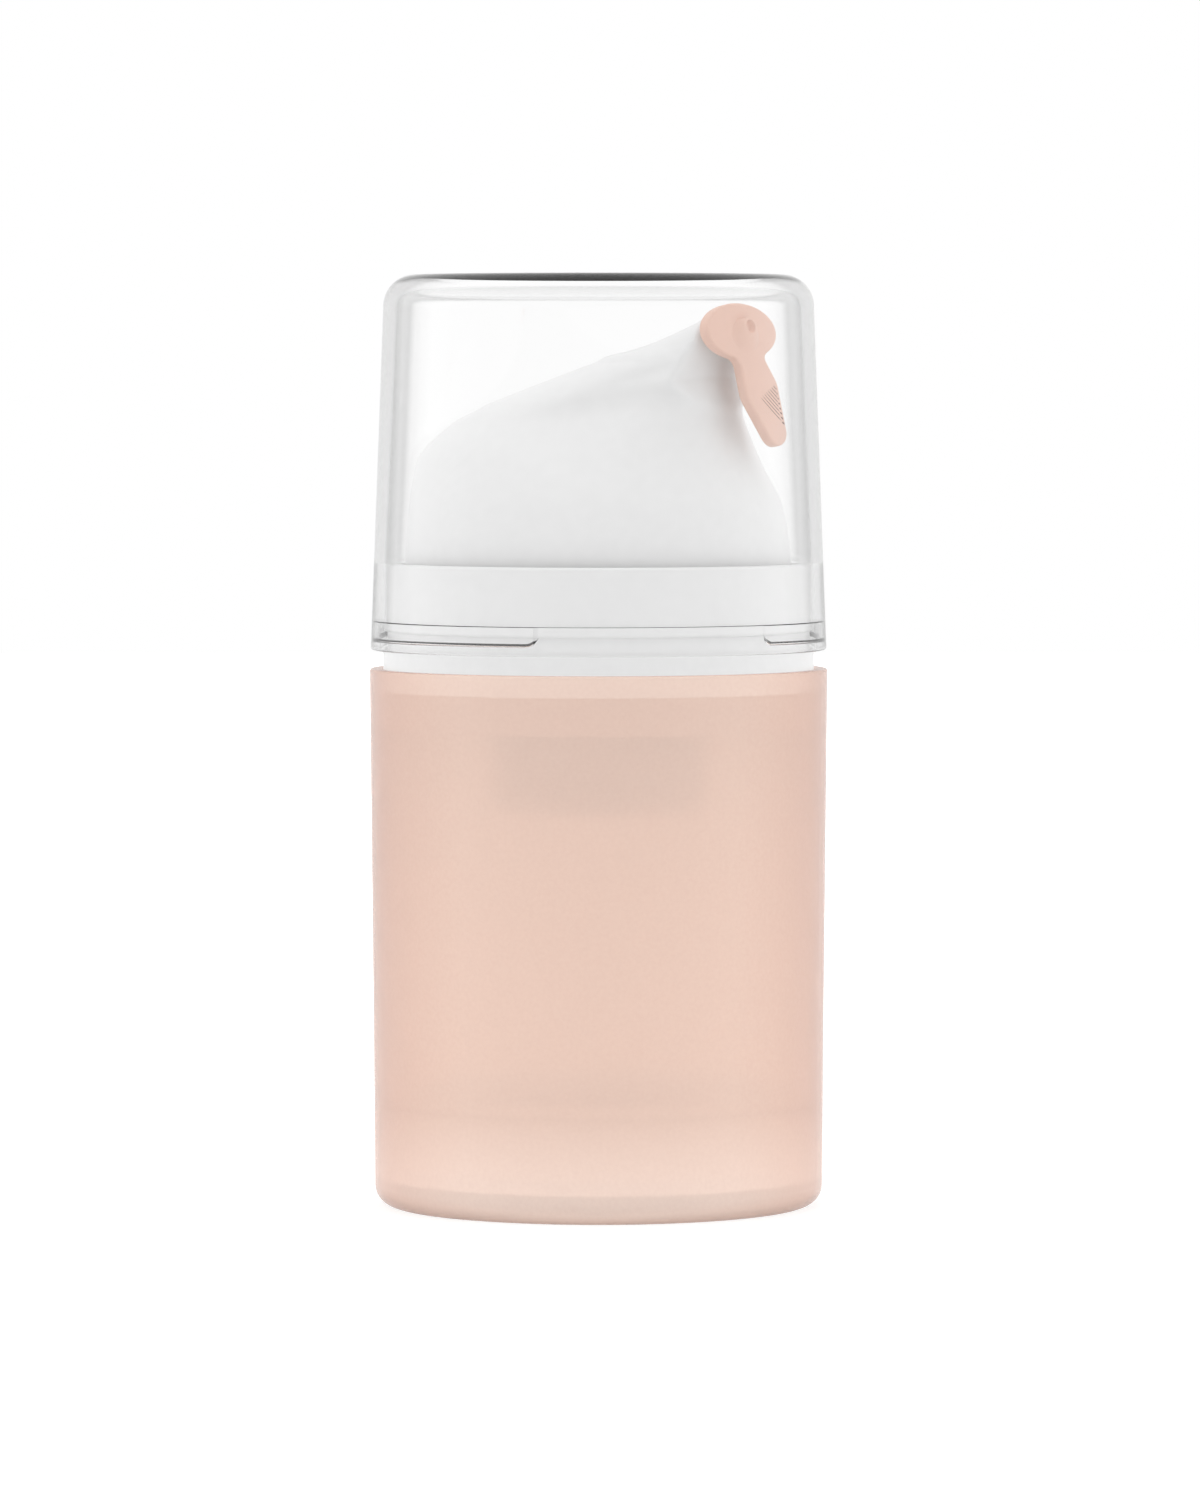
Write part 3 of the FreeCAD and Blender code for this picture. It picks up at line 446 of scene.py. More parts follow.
def place(piece, body, slot, material, *nodes):
    """Give a piece its finish and body, and let it stand for the nodes it shows."""
    piece.data.materials.clear()
    piece.data.materials.append(material)
    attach(piece, body)
    if nodes:
        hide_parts(*nodes)


def let_light_through(piece):
    """Let the light fall through a clear or frosted wall on the pieces behind it."""
    piece.visible_shadow = False
    piece.visible_diffuse = False


# Shader nodes

def connect(tree, socket, value):
    """Give an input a number or colour, or link it to another node's output."""
    if isinstance(value, bpy.types.NodeSocket):
        tree.links.new(value, socket)
    else:
        socket.default_value = value


def add_node(tree, kind, inputs=None, **settings):
    """New node with its settings, and with inputs given by name or place."""
    node = tree.nodes.new("ShaderNode" + kind)
    for name, value in settings.items():
        setattr(node, name, value)
    for name, value in (inputs or {}).items():
        connect(tree, node.inputs[name], value)
    return node


def worked_out(tree, operation, *values):
    """Output of a math node whose inputs are numbers or other outputs."""
    return add_node(tree, "Math", dict(enumerate(values)), operation=operation).outputs["Value"]


def mapped(tree, value, span, results, **settings):
    """Output that goes from one result to the other while the value goes over a span."""
    names = ("Value", "From Min", "From Max", "To Min", "To Max")
    inputs = dict(zip(names, (value, *span, *results)))
    return add_node(tree, "MapRange", inputs, **settings).outputs["Result"]


def mixed(tree, share, first, second):
    """Mix of two colours by a share."""
    inputs = {"Factor": share, "A": first, "B": second}
    return add_node(tree, "Mix", inputs, data_type="RGBA").outputs["Result"]


def ramp(tree, value, stops):
    """Colour ramp over a value, through stops of a position and a colour."""
    node = add_node(tree, "ValToRGB", {"Fac": value})
    elements = node.color_ramp.elements
    for element, (position, colour) in zip(elements, (stops[0], stops[-1])):
        element.position = position
        element.color = (*colour, 1)
    for position, colour in stops[1:-1]:
        elements.new(position).color = (*colour, 1)
    return node.outputs["Color"]


def own_place(tree):
    """Place on the piece, in its own coordinates."""
    return add_node(tree, "TexCoord").outputs["Object"]


def axes_of(tree, vector):
    """Outputs of the three parts of a place or a direction."""
    return add_node(tree, "SeparateXYZ", {"Vector": vector}).outputs


def slant(tree):
    """How far the surface is turned away from what looks at it."""
    return add_node(tree, "LayerWeight").outputs["Facing"]


# Finishes

def shader_of(material):
    """Principled shader of a material."""
    return material.node_tree.nodes["Principled BSDF"]


def give(material, inputs):
    """Set or link inputs of a material's principled shader."""
    for name, value in inputs.items():
        connect(material.node_tree, shader_of(material).inputs[name], value)


def new_finish(name, colour, roughness):
    """Material with one principled shader."""
    material = bpy.data.materials.new(name)
    material.use_nodes = True
    give(material, {"Base Color": (*colour, 1), "Roughness": roughness})
    return material


def grain_noise(material, scale, detail):
    """Noise in the piece's own coordinates; scale is in grains per metre."""
    tree = material.node_tree
    inputs = {"Vector": own_place(tree), "Scale": scale, "Detail": detail}
    return add_node(tree, "TexNoise", inputs).outputs["Fac"]


def mottle(material, noise, colour, spread):
    """Colour that varies a little with the noise."""
    colours = (np.array(colour) * (1 - spread), np.minimum(1.0, np.array(colour) * (1 + spread)))
    give(material, {"Base Color": ramp(material.node_tree, noise, list(zip(MOTTLE_SPAN, colours)))})


def uneven_gloss(material, noise, least, most):
    """Roughness between two values, by the noise."""
    give(material, {"Roughness": mapped(material.node_tree, noise, (0, 1), (least, most))})


def grained(material, noise, depth):
    """Bump from the noise; depth is in metres."""
    bump = add_node(material.node_tree, "Bump", {"Strength": 1.0, "Distance": depth, "Height": noise})
    give(material, {"Normal": bump.outputs["Normal"]})


def moulded(name, colour, roughness, scale=900, spread=0.012, depth=0.004 * MM):
    """Moulded plastic: faint mottling, uneven gloss and a fine grain."""
    material = new_finish(name, colour, roughness)
    noise = grain_noise(material, scale, detail=3)
    mottle(material, noise, colour, spread)
    uneven_gloss(material, noise, roughness * (1 - GLOSS_SPREAD), roughness * (1 + GLOSS_SPREAD))
    grained(material, noise, depth)
    return material


def paint_edge_shade(material, deep, most):
    """Painted shade: deeper colour where the translucent wall is seen at a slant, up to a share."""
    tree = material.node_tree
    share = mapped(tree, slant(tree), PAINTED_EDGE_SHADE_SPAN, (0.0, most))
    pale = shader_of(material).inputs["Base Color"].links[0].from_socket
    give(material, {"Base Color": mixed(tree, share, pale, (*deep, 1))})


def thicker_below(material, levels, clearness):
    """Less light through the thick foot than through the wall over it."""
    tree = material.node_tree
    level = axes_of(tree, own_place(tree))["Z"]
    give(material, {"Transmission Weight": mapped(tree, level, levels, clearness)})


def deep_tint(material, colour, density):
    """Tint that grows with the way that light takes inside the plastic."""
    tree = material.node_tree
    depth = add_node(tree, "VolumeAbsorption", {"Color": (*colour, 1), "Density": density})
    connect(tree, tree.nodes["Material Output"].inputs["Volume"], depth.outputs["Volume"])


def frosted(name, colour, roughness, clearness, bending, scale, depth):
    """Frosted plastic that lets part of the light through, with a sandy grain."""
    material = new_finish(name, colour, roughness)
    noise = grain_noise(material, scale, detail=2)
    mottle(material, noise, colour, spread=0.02)
    grained(material, noise, depth)
    give(material, {"Transmission Weight": clearness, "IOR": bending})
    return material


def clear_plastic(colour):
    """Clear polished plastic with a faint unevenness in its gloss, with painted shade that darkens it
    where it is seen at a slant and where its surface carries a painted edge shade."""
    material = new_finish("clear plastic", colour, 0.0)
    tree = material.node_tree
    uneven_gloss(material, grain_noise(material, scale=60, detail=1), 0.0, 0.02)
    # Painted shade: the clear plastic's colour darkens where it is seen at a slant
    pale = ramp(tree, slant(tree), [(position, value * np.array(colour)) for position, value in PAINTED_SLANT_SHADE])
    # Painted shade along the snap pockets' lower edge, where the points carry it
    shade = add_node(tree, "Attribute", attribute_name="edge_shade").outputs["Fac"]
    give(material, {
        "Base Color": mixed(tree, shade, pale, POCKET_SHADE_PAINT),
        "Transmission Weight": 1.0,
        "IOR": 1.49,
    })
    return material


def steel(colour):
    """Drawn stainless steel."""
    material = new_finish("spring steel", colour, 0.3)
    uneven_gloss(material, grain_noise(material, scale=1500, detail=4), 0.22, 0.4)
    give(material, {"Metallic": 1.0})
    return material


# Bottle

def bottle_section(sizes):
    """Half section of the outer bottle: foot ring, tapered wall, rim, bore and vented floor."""
    foot_radius = sizes.rim_radius - sizes.taper
    ring_bore = foot_radius - sizes.ring_width
    floor_top = sizes.recess + sizes.floor
    edge = 0.3 * MM
    corner = 0.4 * MM
    return rounded([
        (sizes.vent_radius, sizes.recess),
        (ring_bore, sizes.recess, edge),
        (ring_bore + sizes.recess, 0, edge),
        (foot_radius, 0, sizes.foot_round),
        (sizes.rim_radius, sizes.rim, sizes.rim_round),
        (sizes.rim_radius - sizes.wall, sizes.rim, sizes.rim_round),
        (foot_radius - sizes.wall, floor_top, corner),
        (sizes.vent_radius, floor_top),
    ])


def tube_section(sizes):
    """Half section of the inner tube, open at its rim and vented in its floor."""
    foot = sizes.recess + sizes.floor
    bore = sizes.tube_radius - sizes.tube_wall
    foot_round = 0.8 * MM
    return rounded([
        (sizes.tube_vent, foot),
        (sizes.tube_radius, foot, foot_round),
        (sizes.tube_radius, sizes.tube_rim),
        (bore, sizes.tube_rim),
        (bore, foot + sizes.tube_floor),
        (sizes.tube_vent, foot + sizes.tube_floor),
    ])


def collar_section(sizes):
    """Half section of the collar: skirt, ring, snap groove, bead, band and ledge."""
    seat = sizes.collar_radius - sizes.seat_depth
    band = sizes.collar_radius - sizes.band_step
    bead_foot = sizes.ring_top + sizes.seat_height
    bead_top = bead_foot + sizes.bead_height
    skirt_fit = 0.08 * MM
    skirt_bore = sizes.tube_radius + skirt_fit
    ledge_foot = sizes.ledge_top - sizes.ledge_thickness
    edge = sizes.collar_round
    ring_edge = 0.15 * MM
    bead_edge = 0.25 * MM
    return rounded([
        (skirt_bore, sizes.collar_foot),
        (sizes.collar_radius, sizes.collar_foot),
        (sizes.collar_radius, sizes.ring_top, ring_edge),
        (seat, sizes.ring_top),
        (seat, bead_foot),
        (sizes.collar_radius, bead_foot, edge),
        (sizes.collar_radius, bead_top, bead_edge),
        (band, bead_top),
        (band, sizes.collar_top, edge),
        (band - sizes.band_wall, sizes.collar_top, edge),
        (band - sizes.band_wall, sizes.ledge_top),
        (sizes.ledge_bore, sizes.ledge_top),
        (sizes.ledge_bore, ledge_foot),
        (skirt_bore, ledge_foot),
    ])


def sleeve_section(sizes):
    """Half section of the dark sleeve that paints shade on the collar's skirt, with a thinner part behind the
    teeth that paints shade between them.
    """
    bore = sizes.collar_radius - sizes.knurl_depth - SLEEVE_SINK
    outside = sizes.collar_radius + SKIRT_PROUD
    behind_teeth = sizes.collar_radius - sizes.knurl_depth * BEHIND_TEETH
    top = sizes.knurl_foot + sizes.knurl_height
    return rounded([
        (bore, sizes.collar_foot),
        (outside, sizes.collar_foot),
        (outside, sizes.sleeve_top),
        (behind_teeth, sizes.sleeve_top),
        (behind_teeth, top),
        (bore, top),
    ])


def knurl_points(sizes):
    """Ring of grip teeth: a square section whose outer radius dips as a cosine between teeth."""
    angle = full_turn(sizes.knurl_teeth * COLUMNS_PER_TOOTH)
    wave = 0.5 - 0.5 * np.cos(angle * sizes.knurl_teeth)
    outside = sizes.collar_radius + SKIRT_PROUD - sizes.knurl_depth * (1 - wave)
    inside = np.full_like(angle, sizes.collar_radius - sizes.knurl_depth - TEETH_SINK)
    low = np.full_like(angle, sizes.knurl_foot)
    high = low + sizes.knurl_height
    radius = np.stack([inside, outside, outside, inside])
    return around_axis(radius, angle, np.stack([low, low, high, high]))


# Head

def spout_axis():
    """Direction in which the plug is pulled out of the spout."""
    pull = next(joint for joint in frame["joints"] if joint["name"] == "plug_pull")
    return unit(np.array(pull["axis"], dtype=float))


def nozzle_middle(sizes):
    """Middle of the nozzle's face: the middle of its insert, moved out by half its length."""
    low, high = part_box("nozzle_tip")
    return np.array((low + high) / 2) + spout_axis() * sizes.tip_length / 2


def egg_distance(across, along, section):
    """Distance from a level egg, the hull of a rear circle and a smaller tip circle: from the
    nearer circle past its end, and else from the side that touches both."""
    rear, tip, side, nose = section
    apart = (tip - nose) - (rear + side)
    across = np.abs(across)
    along = along - (rear + side)
    lean = np.clip((side - nose) / apart, -0.999, 0.999)
    square = np.sqrt(1 - lean ** 2)
    past = along * square - across * lean
    to_rear = np.hypot(across, along) - side
    to_tip = np.hypot(across, along - apart) - nose
    to_side = across * square + along * lean - side
    return np.where(past < 0, to_rear, np.where(past > apart * square, to_tip, to_side))


def head_distance(points, sizes, collar_top, inset, top):
    """Distance from the head's form without its ridge: the egg of each level, moved in by the
    inset and rounded off at its top level."""
    axis = spout_axis()
    ahead = unit(axis * (1, 1, 0))
    along = points @ ahead
    across = points @ np.cross((0, 0, 1), ahead)
    above = points[..., 2] - collar_top
    section = [smooth_between(HEAD_SECTIONS[:, 0], column, above) for column in HEAD_SECTIONS.T[1:]]
    side = egg_distance(across, along, section) + inset
    return soft_most(side, above - top, sizes.crown_round)


def ridge_distance(points, sizes):
    """Distance from the spout's ridge: an oval bar along the spout's axis, with spreading sides
    under its mouth, which sinks and gets lower and narrower towards the rear."""
    axis = spout_axis()
    sideways = np.cross((0, 0, 1), unit(axis * (1, 1, 0)))
    upwards = np.cross(axis, sideways)
    offset = points - nozzle_middle(sizes)
    back = -(offset @ axis)
    share = np.clip(back / sizes.ridge_length, 0, 1)
    rise = offset @ upwards + sizes.ridge_sink * share
    drop = np.clip(-rise, 0, sizes.ridge_sides * (1 - share))
    half_width = sizes.ridge_half_width * (1 - RIDGE_NARROWING * share ** 2) + RIDGE_SPREAD * drop
    half_height = sizes.ridge_half_height * (1 - RIDGE_LOWERING * share)
    oval = np.hypot((offset @ sideways) / half_width, (rise + drop) / half_height)
    ends = np.maximum(RIDGE_RECESS * drop - back, back - sizes.ridge_length)
    return soft_most((oval - 1) * half_height, ends, sizes.ridge_round)


def reach_along(starts, ways, distance, longest, rounds=32):
    """How far each ray goes before it leaves a form, by halving the span between a length
    inside the form and one outside it."""
    inside = np.zeros(starts.shape[:-1])
    outside = np.full(starts.shape[:-1], longest)
    for _ in range(rounds):
        middle = (inside + outside) / 2
        within = distance(starts + ways * middle[..., None]) < 0
        inside = np.where(within, middle, inside)
        outside = np.where(within, outside, middle)
    return inside


def head_rays(sizes, collar_top, columns, levels, tilts):
    """Starts and directions of rays: level ones up the axis to the head's middle, then ones
    that tilt up from there to the zenith."""
    angle = full_turn(columns)
    middle = collar_top + sizes.middle
    level = np.concatenate([np.linspace(sizes.foot, middle, levels), np.full(tilts, middle)])
    tilt = np.concatenate([np.zeros(levels), np.linspace(0, math.pi / 2, tilts + 1)[1:]])
    starts = np.zeros((len(level), columns, 3))
    starts[..., 2] = level[:, None]
    ways = around_axis(np.cos(tilt)[:, None], angle, np.sin(tilt)[:, None])
    return starts, ways


def head_points(sizes, collar_top):
    """Closed wall of the head: its hollow from the top down to the foot, then its outside from
    the foot up, each as the reach of rays from inside it."""
    crown_top = HEAD_SECTIONS[-1, 0]
    longest = 40 * MM

    def outer(points):
        form = head_distance(points, sizes, collar_top, 0.0, crown_top)
        return soft_least(form, ridge_distance(points, sizes), sizes.ridge_blend)

    def inner(points):
        return head_distance(points, sizes, collar_top, sizes.wall, sizes.hollow_top)

    starts, ways = head_rays(sizes, collar_top, columns=320, levels=26, tilts=130)
    outside = starts + ways * reach_along(starts, ways, outer, longest)[..., None]
    hollow = starts + ways * reach_along(starts, ways, inner, longest)[..., None]
    return np.concatenate([hollow[::-1], outside])


# Plug

def plug_axes():
    """Axes of the plug: outwards, sideways, upwards and along the tail, whose tip is where the
    packed plug lies farthest from the nozzle's middle."""
    out = spout_axis()
    node = frame["nodes"]["nozzle_plug"].data
    corners = np.empty(len(node.vertices) * 3, dtype=np.float32)
    node.vertices.foreach_get("co", corners)
    offset = corners.reshape(-1, 3) - nozzle_middle(bpy.context.scene.head_sizes)
    flat = offset - np.outer(offset @ out, out)
    reach = np.linalg.norm(flat, axis=1)
    tip_depth = 0.3 * MM
    tail = unit(flat[reach > reach.max() - tip_depth].mean(axis=0))
    sideways = unit(np.cross((0, 0, 1), out))
    return out, sideways, np.cross(out, sideways), tail


def plug_distance(across, down, sizes):
    """Distance in the plug's plane from its outline: an oval button blended with a tail, which
    is the hull of its neck and widest circles joined to the hull of its widest and tip ones."""
    oval = np.hypot(across / sizes.half_width, down / sizes.half_height)
    button = (oval - 1) * np.hypot(across, down) / np.clip(oval, 1e-6, None)
    _, sideways, upwards, tail = plug_axes()
    lean = (tail @ sideways, -(tail @ upwards))
    along = across * lean[0] + down * lean[1]
    aside = across * lean[1] - down * lean[0]
    hulls = []
    for (start, wide), (end, narrow) in zip(TAIL_CIRCLES[:-1], TAIL_CIRCLES[1:]):
        hulls.append(egg_distance(aside, along, (start - wide, end + narrow, wide, narrow)))
    return soft_least(button, np.minimum(*hulls), sizes.neck_round)


def plug_points(sizes, middle, columns=400):
    """Closed plate with the plug's outline: rows of the outline moved in at the rounded edges,
    then over the flat front to the oval foot of the leaning boss, its top and its dimple."""
    out, sideways, upwards, _ = plug_axes()
    angle = full_turn(columns)
    circle = np.stack([np.cos(angle), np.sin(angle)], axis=-1)
    turn = np.linspace(0, math.pi / 2, 6)
    edge = 1 - np.sin(turn)
    on_face = [1.5]
    inset = sizes.edge_round * np.concatenate([on_face, edge, edge[::-1], on_face])
    rise = sizes.edge_round * (1 - np.cos(turn))
    level = np.concatenate([[0], rise, sizes.thickness - rise[::-1], [sizes.thickness]])
    ways = np.broadcast_to(circle, (len(inset), columns, 2))

    def outline(points):
        return plug_distance(points[..., 0], -points[..., 1], sizes) + inset[:, None]

    rows = ways * reach_along(np.zeros_like(ways), ways, outline, longest=16 * MM)[..., None]
    share, climb = BOSS_PROFILE.T
    boss_foot = np.array((sizes.boss_half_width, sizes.boss_half_height))
    boss = circle * (sizes.boss_top + (boss_foot - sizes.boss_top) * share[:, None])[:, None]
    lean = sizes.boss_lean * climb - sizes.boss_drop
    boss += np.stack([np.full_like(lean, sizes.boss_aside), lean], axis=-1)[:, None]
    share, drop = DIMPLE_PROFILE.T
    well = circle * (sizes.dimple_radius * share)[:, None, None]
    well = well + (sizes.boss_aside, sizes.boss_lean - sizes.boss_drop)
    flat = np.concatenate([np.zeros((1, columns, 2)), rows, boss, well])
    height = np.concatenate([
        [0],
        level,
        sizes.thickness + sizes.boss_height * climb,
        sizes.thickness + sizes.boss_height - sizes.dimple_depth * drop,
    ])
    return (middle + flat[..., :1] * sideways + flat[..., 1:] * upwards
            + (sizes.gap + height)[:, None, None] * out)


def rib_points(sizes, middle, share, columns=12):
    """Grip rib: a bar that thickens from the patch's upper side to a round end at its right side,
    at a share of the way across, parallel to its left side."""
    out, _, _, tail = plug_axes()
    across = np.cross(out, tail)
    if across @ np.cross((0, 0, 1), out) < 0:
        across = -across
    left, right, foot = GRIP_CORNERS
    start = left + (right - left) * share
    end = foot + (right - foot) * share
    shaft = 0.9
    bulb_start = 0.91
    bulb = 0.95
    bulb_half = 0.05
    thin = 0.3
    thickening = 0.2
    along = np.concatenate([np.linspace(0, shaft, 8), np.linspace(bulb_start, 1, 9)])
    path = start + (end - start) * along[:, None]
    aside = np.array((end[1] - start[1], start[0] - end[0])) / np.linalg.norm(end - start)
    angle = full_turn(columns)
    round_end = np.sqrt(np.clip(1 - ((along - bulb) / bulb_half) ** 2, 0, 1))
    taper = np.where(along < shaft, thin + thickening * along, round_end)
    taper[0] = 0.0
    flat = path[:, None] + (sizes.rib_width / 2 * taper[:, None] * np.cos(angle))[..., None] * aside
    height = sizes.gap + sizes.thickness + sizes.rib_height * taper[:, None] * np.sin(angle)
    return middle + flat[..., :1] * across + flat[..., 1:] * tail + height[..., None] * out


def pin_points(sizes, middle, columns=32):
    """Pin behind the button, with a rounded end: rings along the spout's axis."""
    out, sideways, upwards, _ = plug_axes()
    angle = full_turn(columns)
    ring = np.cos(angle)[:, None] * sideways + np.sin(angle)[:, None] * upwards
    turn = np.linspace(math.pi / 2, 0, 8)
    radius = np.concatenate([sizes.pin_radius * np.cos(turn), [sizes.pin_radius, 0]])
    depth = np.concatenate([
        sizes.pin_length - sizes.pin_radius * (1 - np.sin(turn)),
        [-sizes.gap * 2, -sizes.gap * 2],
    ])
    return middle + radius[:, None, None] * ring - depth[:, None, None] * out


# Spring

def spring_points(sizes, length_m, rows=420, columns=12):
    """Wire ring carried along a helix whose pitch closes up at both ends."""
    share = np.linspace(0, 1, rows)
    angle = 2 * math.pi * sizes.turns * share[:, None]
    travel = length_m - sizes.wire * SPRING_ENDS
    closing = np.sin(2 * math.pi * share) / (2 * math.pi) * SPRING_CLOSING
    level = sizes.foot + sizes.wire * SPRING_SEAT + travel * (share - closing)
    around = full_turn(columns)
    radius = sizes.radius + sizes.wire / 2 * np.cos(around)
    lift = sizes.wire / 2 * np.sin(around)
    points = around_axis(radius, angle, level[:, None] + lift)
    ends = points[[0, -1]].mean(axis=1, keepdims=True) + np.zeros_like(points[:2])
    return np.concatenate([ends[:1], points, ends[1:]])


# Cap

def cap_points(sizes, collar, columns=480):
    """Clear cap: its section turned about the axis, from the middle of the top over the outside
    and the rim to the middle of the roof. In the snap pockets the bore is deeper, and their
    lower edge curves up at both ends."""
    top_radius = sizes.foot_radius - sizes.draft
    bead_top = collar.ring_top + collar.seat_height + collar.bead_height
    shoulder = collar.collar_radius - collar.band_step + sizes.fit
    bore = collar.collar_radius + sizes.rim_gap
    angle = full_turn(columns)
    rim_edge = 0.2 * MM
    bore_edge = 0.15 * MM
    step_edge = 0.08 * MM
    shoulder_round = 8 * MM
    end_slope = 0.35 * MM
    support = 0.03 * MM
    straight_lip = 0.6
    fillet_share = 0.9
    outside = rounded([
        (0, sizes.top),
        (top_radius, sizes.top, sizes.corner),
        (sizes.foot_radius, sizes.foot, rim_edge),
        (bore, sizes.foot, bore_edge),
        (bore, sizes.foot + sizes.pocket_lip * straight_lip),
    ], steps=14)
    inside = rounded([
        (bore, bead_top),
        (shoulder, bead_top, step_edge),
        (shoulder, collar.collar_top, shoulder_round),
        (top_radius - sizes.wall, sizes.top - sizes.roof, sizes.corner - sizes.wall),
        (0, sizes.top - sizes.roof),
    ], steps=14)[1:]
    half_angle = sizes.pocket_angle / 2
    spacing = 2 * math.pi / sizes.pocket_count
    turn = np.abs((angle - sizes.pocket_turn + spacing / 2) % spacing - spacing / 2)
    to_end = (half_angle - turn) * bore
    depth = np.clip(to_end / end_slope, 0, 1) * sizes.pocket_depth
    into_corner = np.clip(1 - to_end / sizes.pocket_round, 0, 1)
    curl = sizes.pocket_round * (1 - np.sqrt(1 - into_corner ** 2))
    ledge = sizes.foot + sizes.pocket_lip + curl
    still = np.full(columns, bore)
    bend = np.linspace(0, math.pi / 2, 6)[:, None]
    fillet = depth * fillet_share
    radius = np.concatenate([
        np.repeat(outside[:, :1], columns, axis=1),
        still[None],
        still + depth - fillet * (1 - np.sin(bend)),
        np.stack([still + depth, still + depth]),
        np.repeat(inside[:, :1], columns, axis=1),
    ])
    level = np.concatenate([
        np.repeat(outside[:, 1:], columns, axis=1),
        ledge[None],
        ledge + fillet * (1 - np.cos(bend)),
        np.stack([ledge + fillet + support, np.full(columns, bead_top)]),
        np.repeat(inside[:, 1:], columns, axis=1),
    ])
    # Painted shade on the pockets' lower fillet: a share that is full where a pocket is deepest
    shade = np.zeros_like(radius)
    shade[len(outside) + 1:len(outside) + 1 + len(bend)] = depth / sizes.pocket_depth
    return around_axis(radius, angle, level), shade


# Operators

class BOTTLE_OT_build_bottle(bpy.types.Operator):
    """Build the frosted outer bottle and the inner tube"""

    bl_idname = "bottle.build_bottle"
    bl_label = "Bottle and tube"

    def execute(self, context):
        sizes = context.scene.bottle_sizes
        colours = context.scene.bottle_finishes
        shell = new_surface("outer_wall", turned(bottle_section(sizes)), closed=True)
        peach = frosted("frosted peach", colours.peach, roughness=0.22, clearness=0.5, bending=1.25,
                        scale=2600, depth=0.006 * MM)
        # Painted shade: the outer wall's colour deepens towards its slanting edges
        paint_edge_shade(peach, colours.deep_peach_and_edge_shade, most=0.6)
        thicker_below(peach, levels=(3 * MM, 10 * MM), clearness=(0.2, 0.5))
        deep_tint(peach, colours.deep_peach_and_edge_shade, density=30)
        place(shell, "bottle", "frosted_peach", peach, "outer_bottle")
        let_light_through(shell)
        tube = new_surface("inner_tube", turned(tube_section(sizes)), closed=True)
        milky = frosted("frosted tube", colours.tube, roughness=0.25, clearness=0.95, bending=1.12,
                        scale=1200, depth=0.004 * MM)
        place(tube, "bottle", "frosted_tube", milky, "inner_bottle")
        let_light_through(tube)
        return {"FINISHED"}


class BOTTLE_OT_build_collar(bpy.types.Operator):
    """Build the white collar, its grip teeth and the dark sleeve that paints shade on its skirt and between the
    teeth
    """

    bl_idname = "bottle.build_collar"
    bl_label = "Collar"

    def execute(self, context):
        sizes = context.scene.bottle_sizes
        colours = context.scene.bottle_finishes
        white = moulded("collar white", colours.white, 0.3)
        collar = new_surface("neck_collar", turned(collar_section(sizes), columns=256), closed=True)
        place(collar, "bottle", "white_plastic", white, "collar")
        teeth = new_surface("collar_grip_teeth", knurl_points(sizes), closed=True)
        place(teeth, "bottle", "white_plastic", white)
        # Painted shade: a dark sleeve on the collar's skirt, seen between the grip teeth too
        painted_shade_sleeve = new_surface("collar_painted_shade_sleeve", turned(sleeve_section(sizes)), closed=True)
        shade = moulded("painted_shade_sleeve", colours.painted_shade_sleeve, 0.5)
        place(painted_shade_sleeve, "bottle", "white_plastic", shade)
        return {"FINISHED"}


class BOTTLE_OT_build_head(bpy.types.Operator):
    """Build the white push head with its spout"""

    bl_idname = "bottle.build_head"
    bl_label = "Push head"

    def execute(self, context):
        sizes = context.scene.head_sizes
        points = head_points(sizes, context.scene.bottle_sizes.collar_top)
        head = new_surface("push_head", points)
        white = moulded("head white", context.scene.bottle_finishes.white, 0.32)
        place(head, "head", "white_plastic", white, "actuator_shell")
        return {"FINISHED"}


class BOTTLE_OT_build_plug(bpy.types.Operator):
    """Build the transport plug: button, boss, pin and gripped tail"""

    bl_idname = "bottle.build_plug"
    bl_label = "Transport plug"

    def execute(self, context):
        sizes = context.scene.plug_sizes
        colours = context.scene.bottle_finishes
        middle = nozzle_middle(context.scene.head_sizes)
        peach = moulded("plug peach", colours.plug_peach, 0.38)
        plate = new_surface("plug_plate", plug_points(sizes, middle))
        place(plate, "plug", "peach_plastic", peach, "nozzle_plug")
        # Painted shade: the ribs are coloured dark for the shadow in the grip's grooves
        shade = moulded("rib shade", colours.painted_rib_shade, 0.45)
        for number in range(sizes.rib_count):
            rib = new_surface(f"plug_rib_{number + 1}", rib_points(sizes, middle, number / sizes.rib_count))
            place(rib, "plug", "peach_plastic", shade)
        pin = new_surface("plug_pin", pin_points(sizes, middle))
        place(pin, "plug", "peach_plastic", peach)
        return {"FINISHED"}


class BOTTLE_OT_build_spring(bpy.types.Operator):
    """Build the return spring at the length of its packed part"""

    bl_idname = "bottle.build_spring"
    bl_label = "Return spring"

    def execute(self, context):
        sizes = context.scene.spring_sizes
        low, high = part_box("return_spring")
        coil = new_surface("spring_coil", spring_points(sizes, high.z - low.z))
        place(coil, "bottle", "spring_steel", steel(context.scene.bottle_finishes.steel), "return_spring")
        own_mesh(coil)
        return {"FINISHED"}


class BOTTLE_OT_build_cap(bpy.types.Operator):
    """Build the clear overcap with its snap pockets"""

    bl_idname = "bottle.build_cap"
    bl_label = "Overcap"

    def execute(self, context):
        points, shade = cap_points(context.scene.cap_sizes, context.scene.bottle_sizes)
        cap = new_surface("clear_cap", points, shade=shade)
        place(cap, "cap", "clear_plastic", clear_plastic(context.scene.bottle_finishes.clear), "overcap")
        let_light_through(cap)
        return {"FINISHED"}


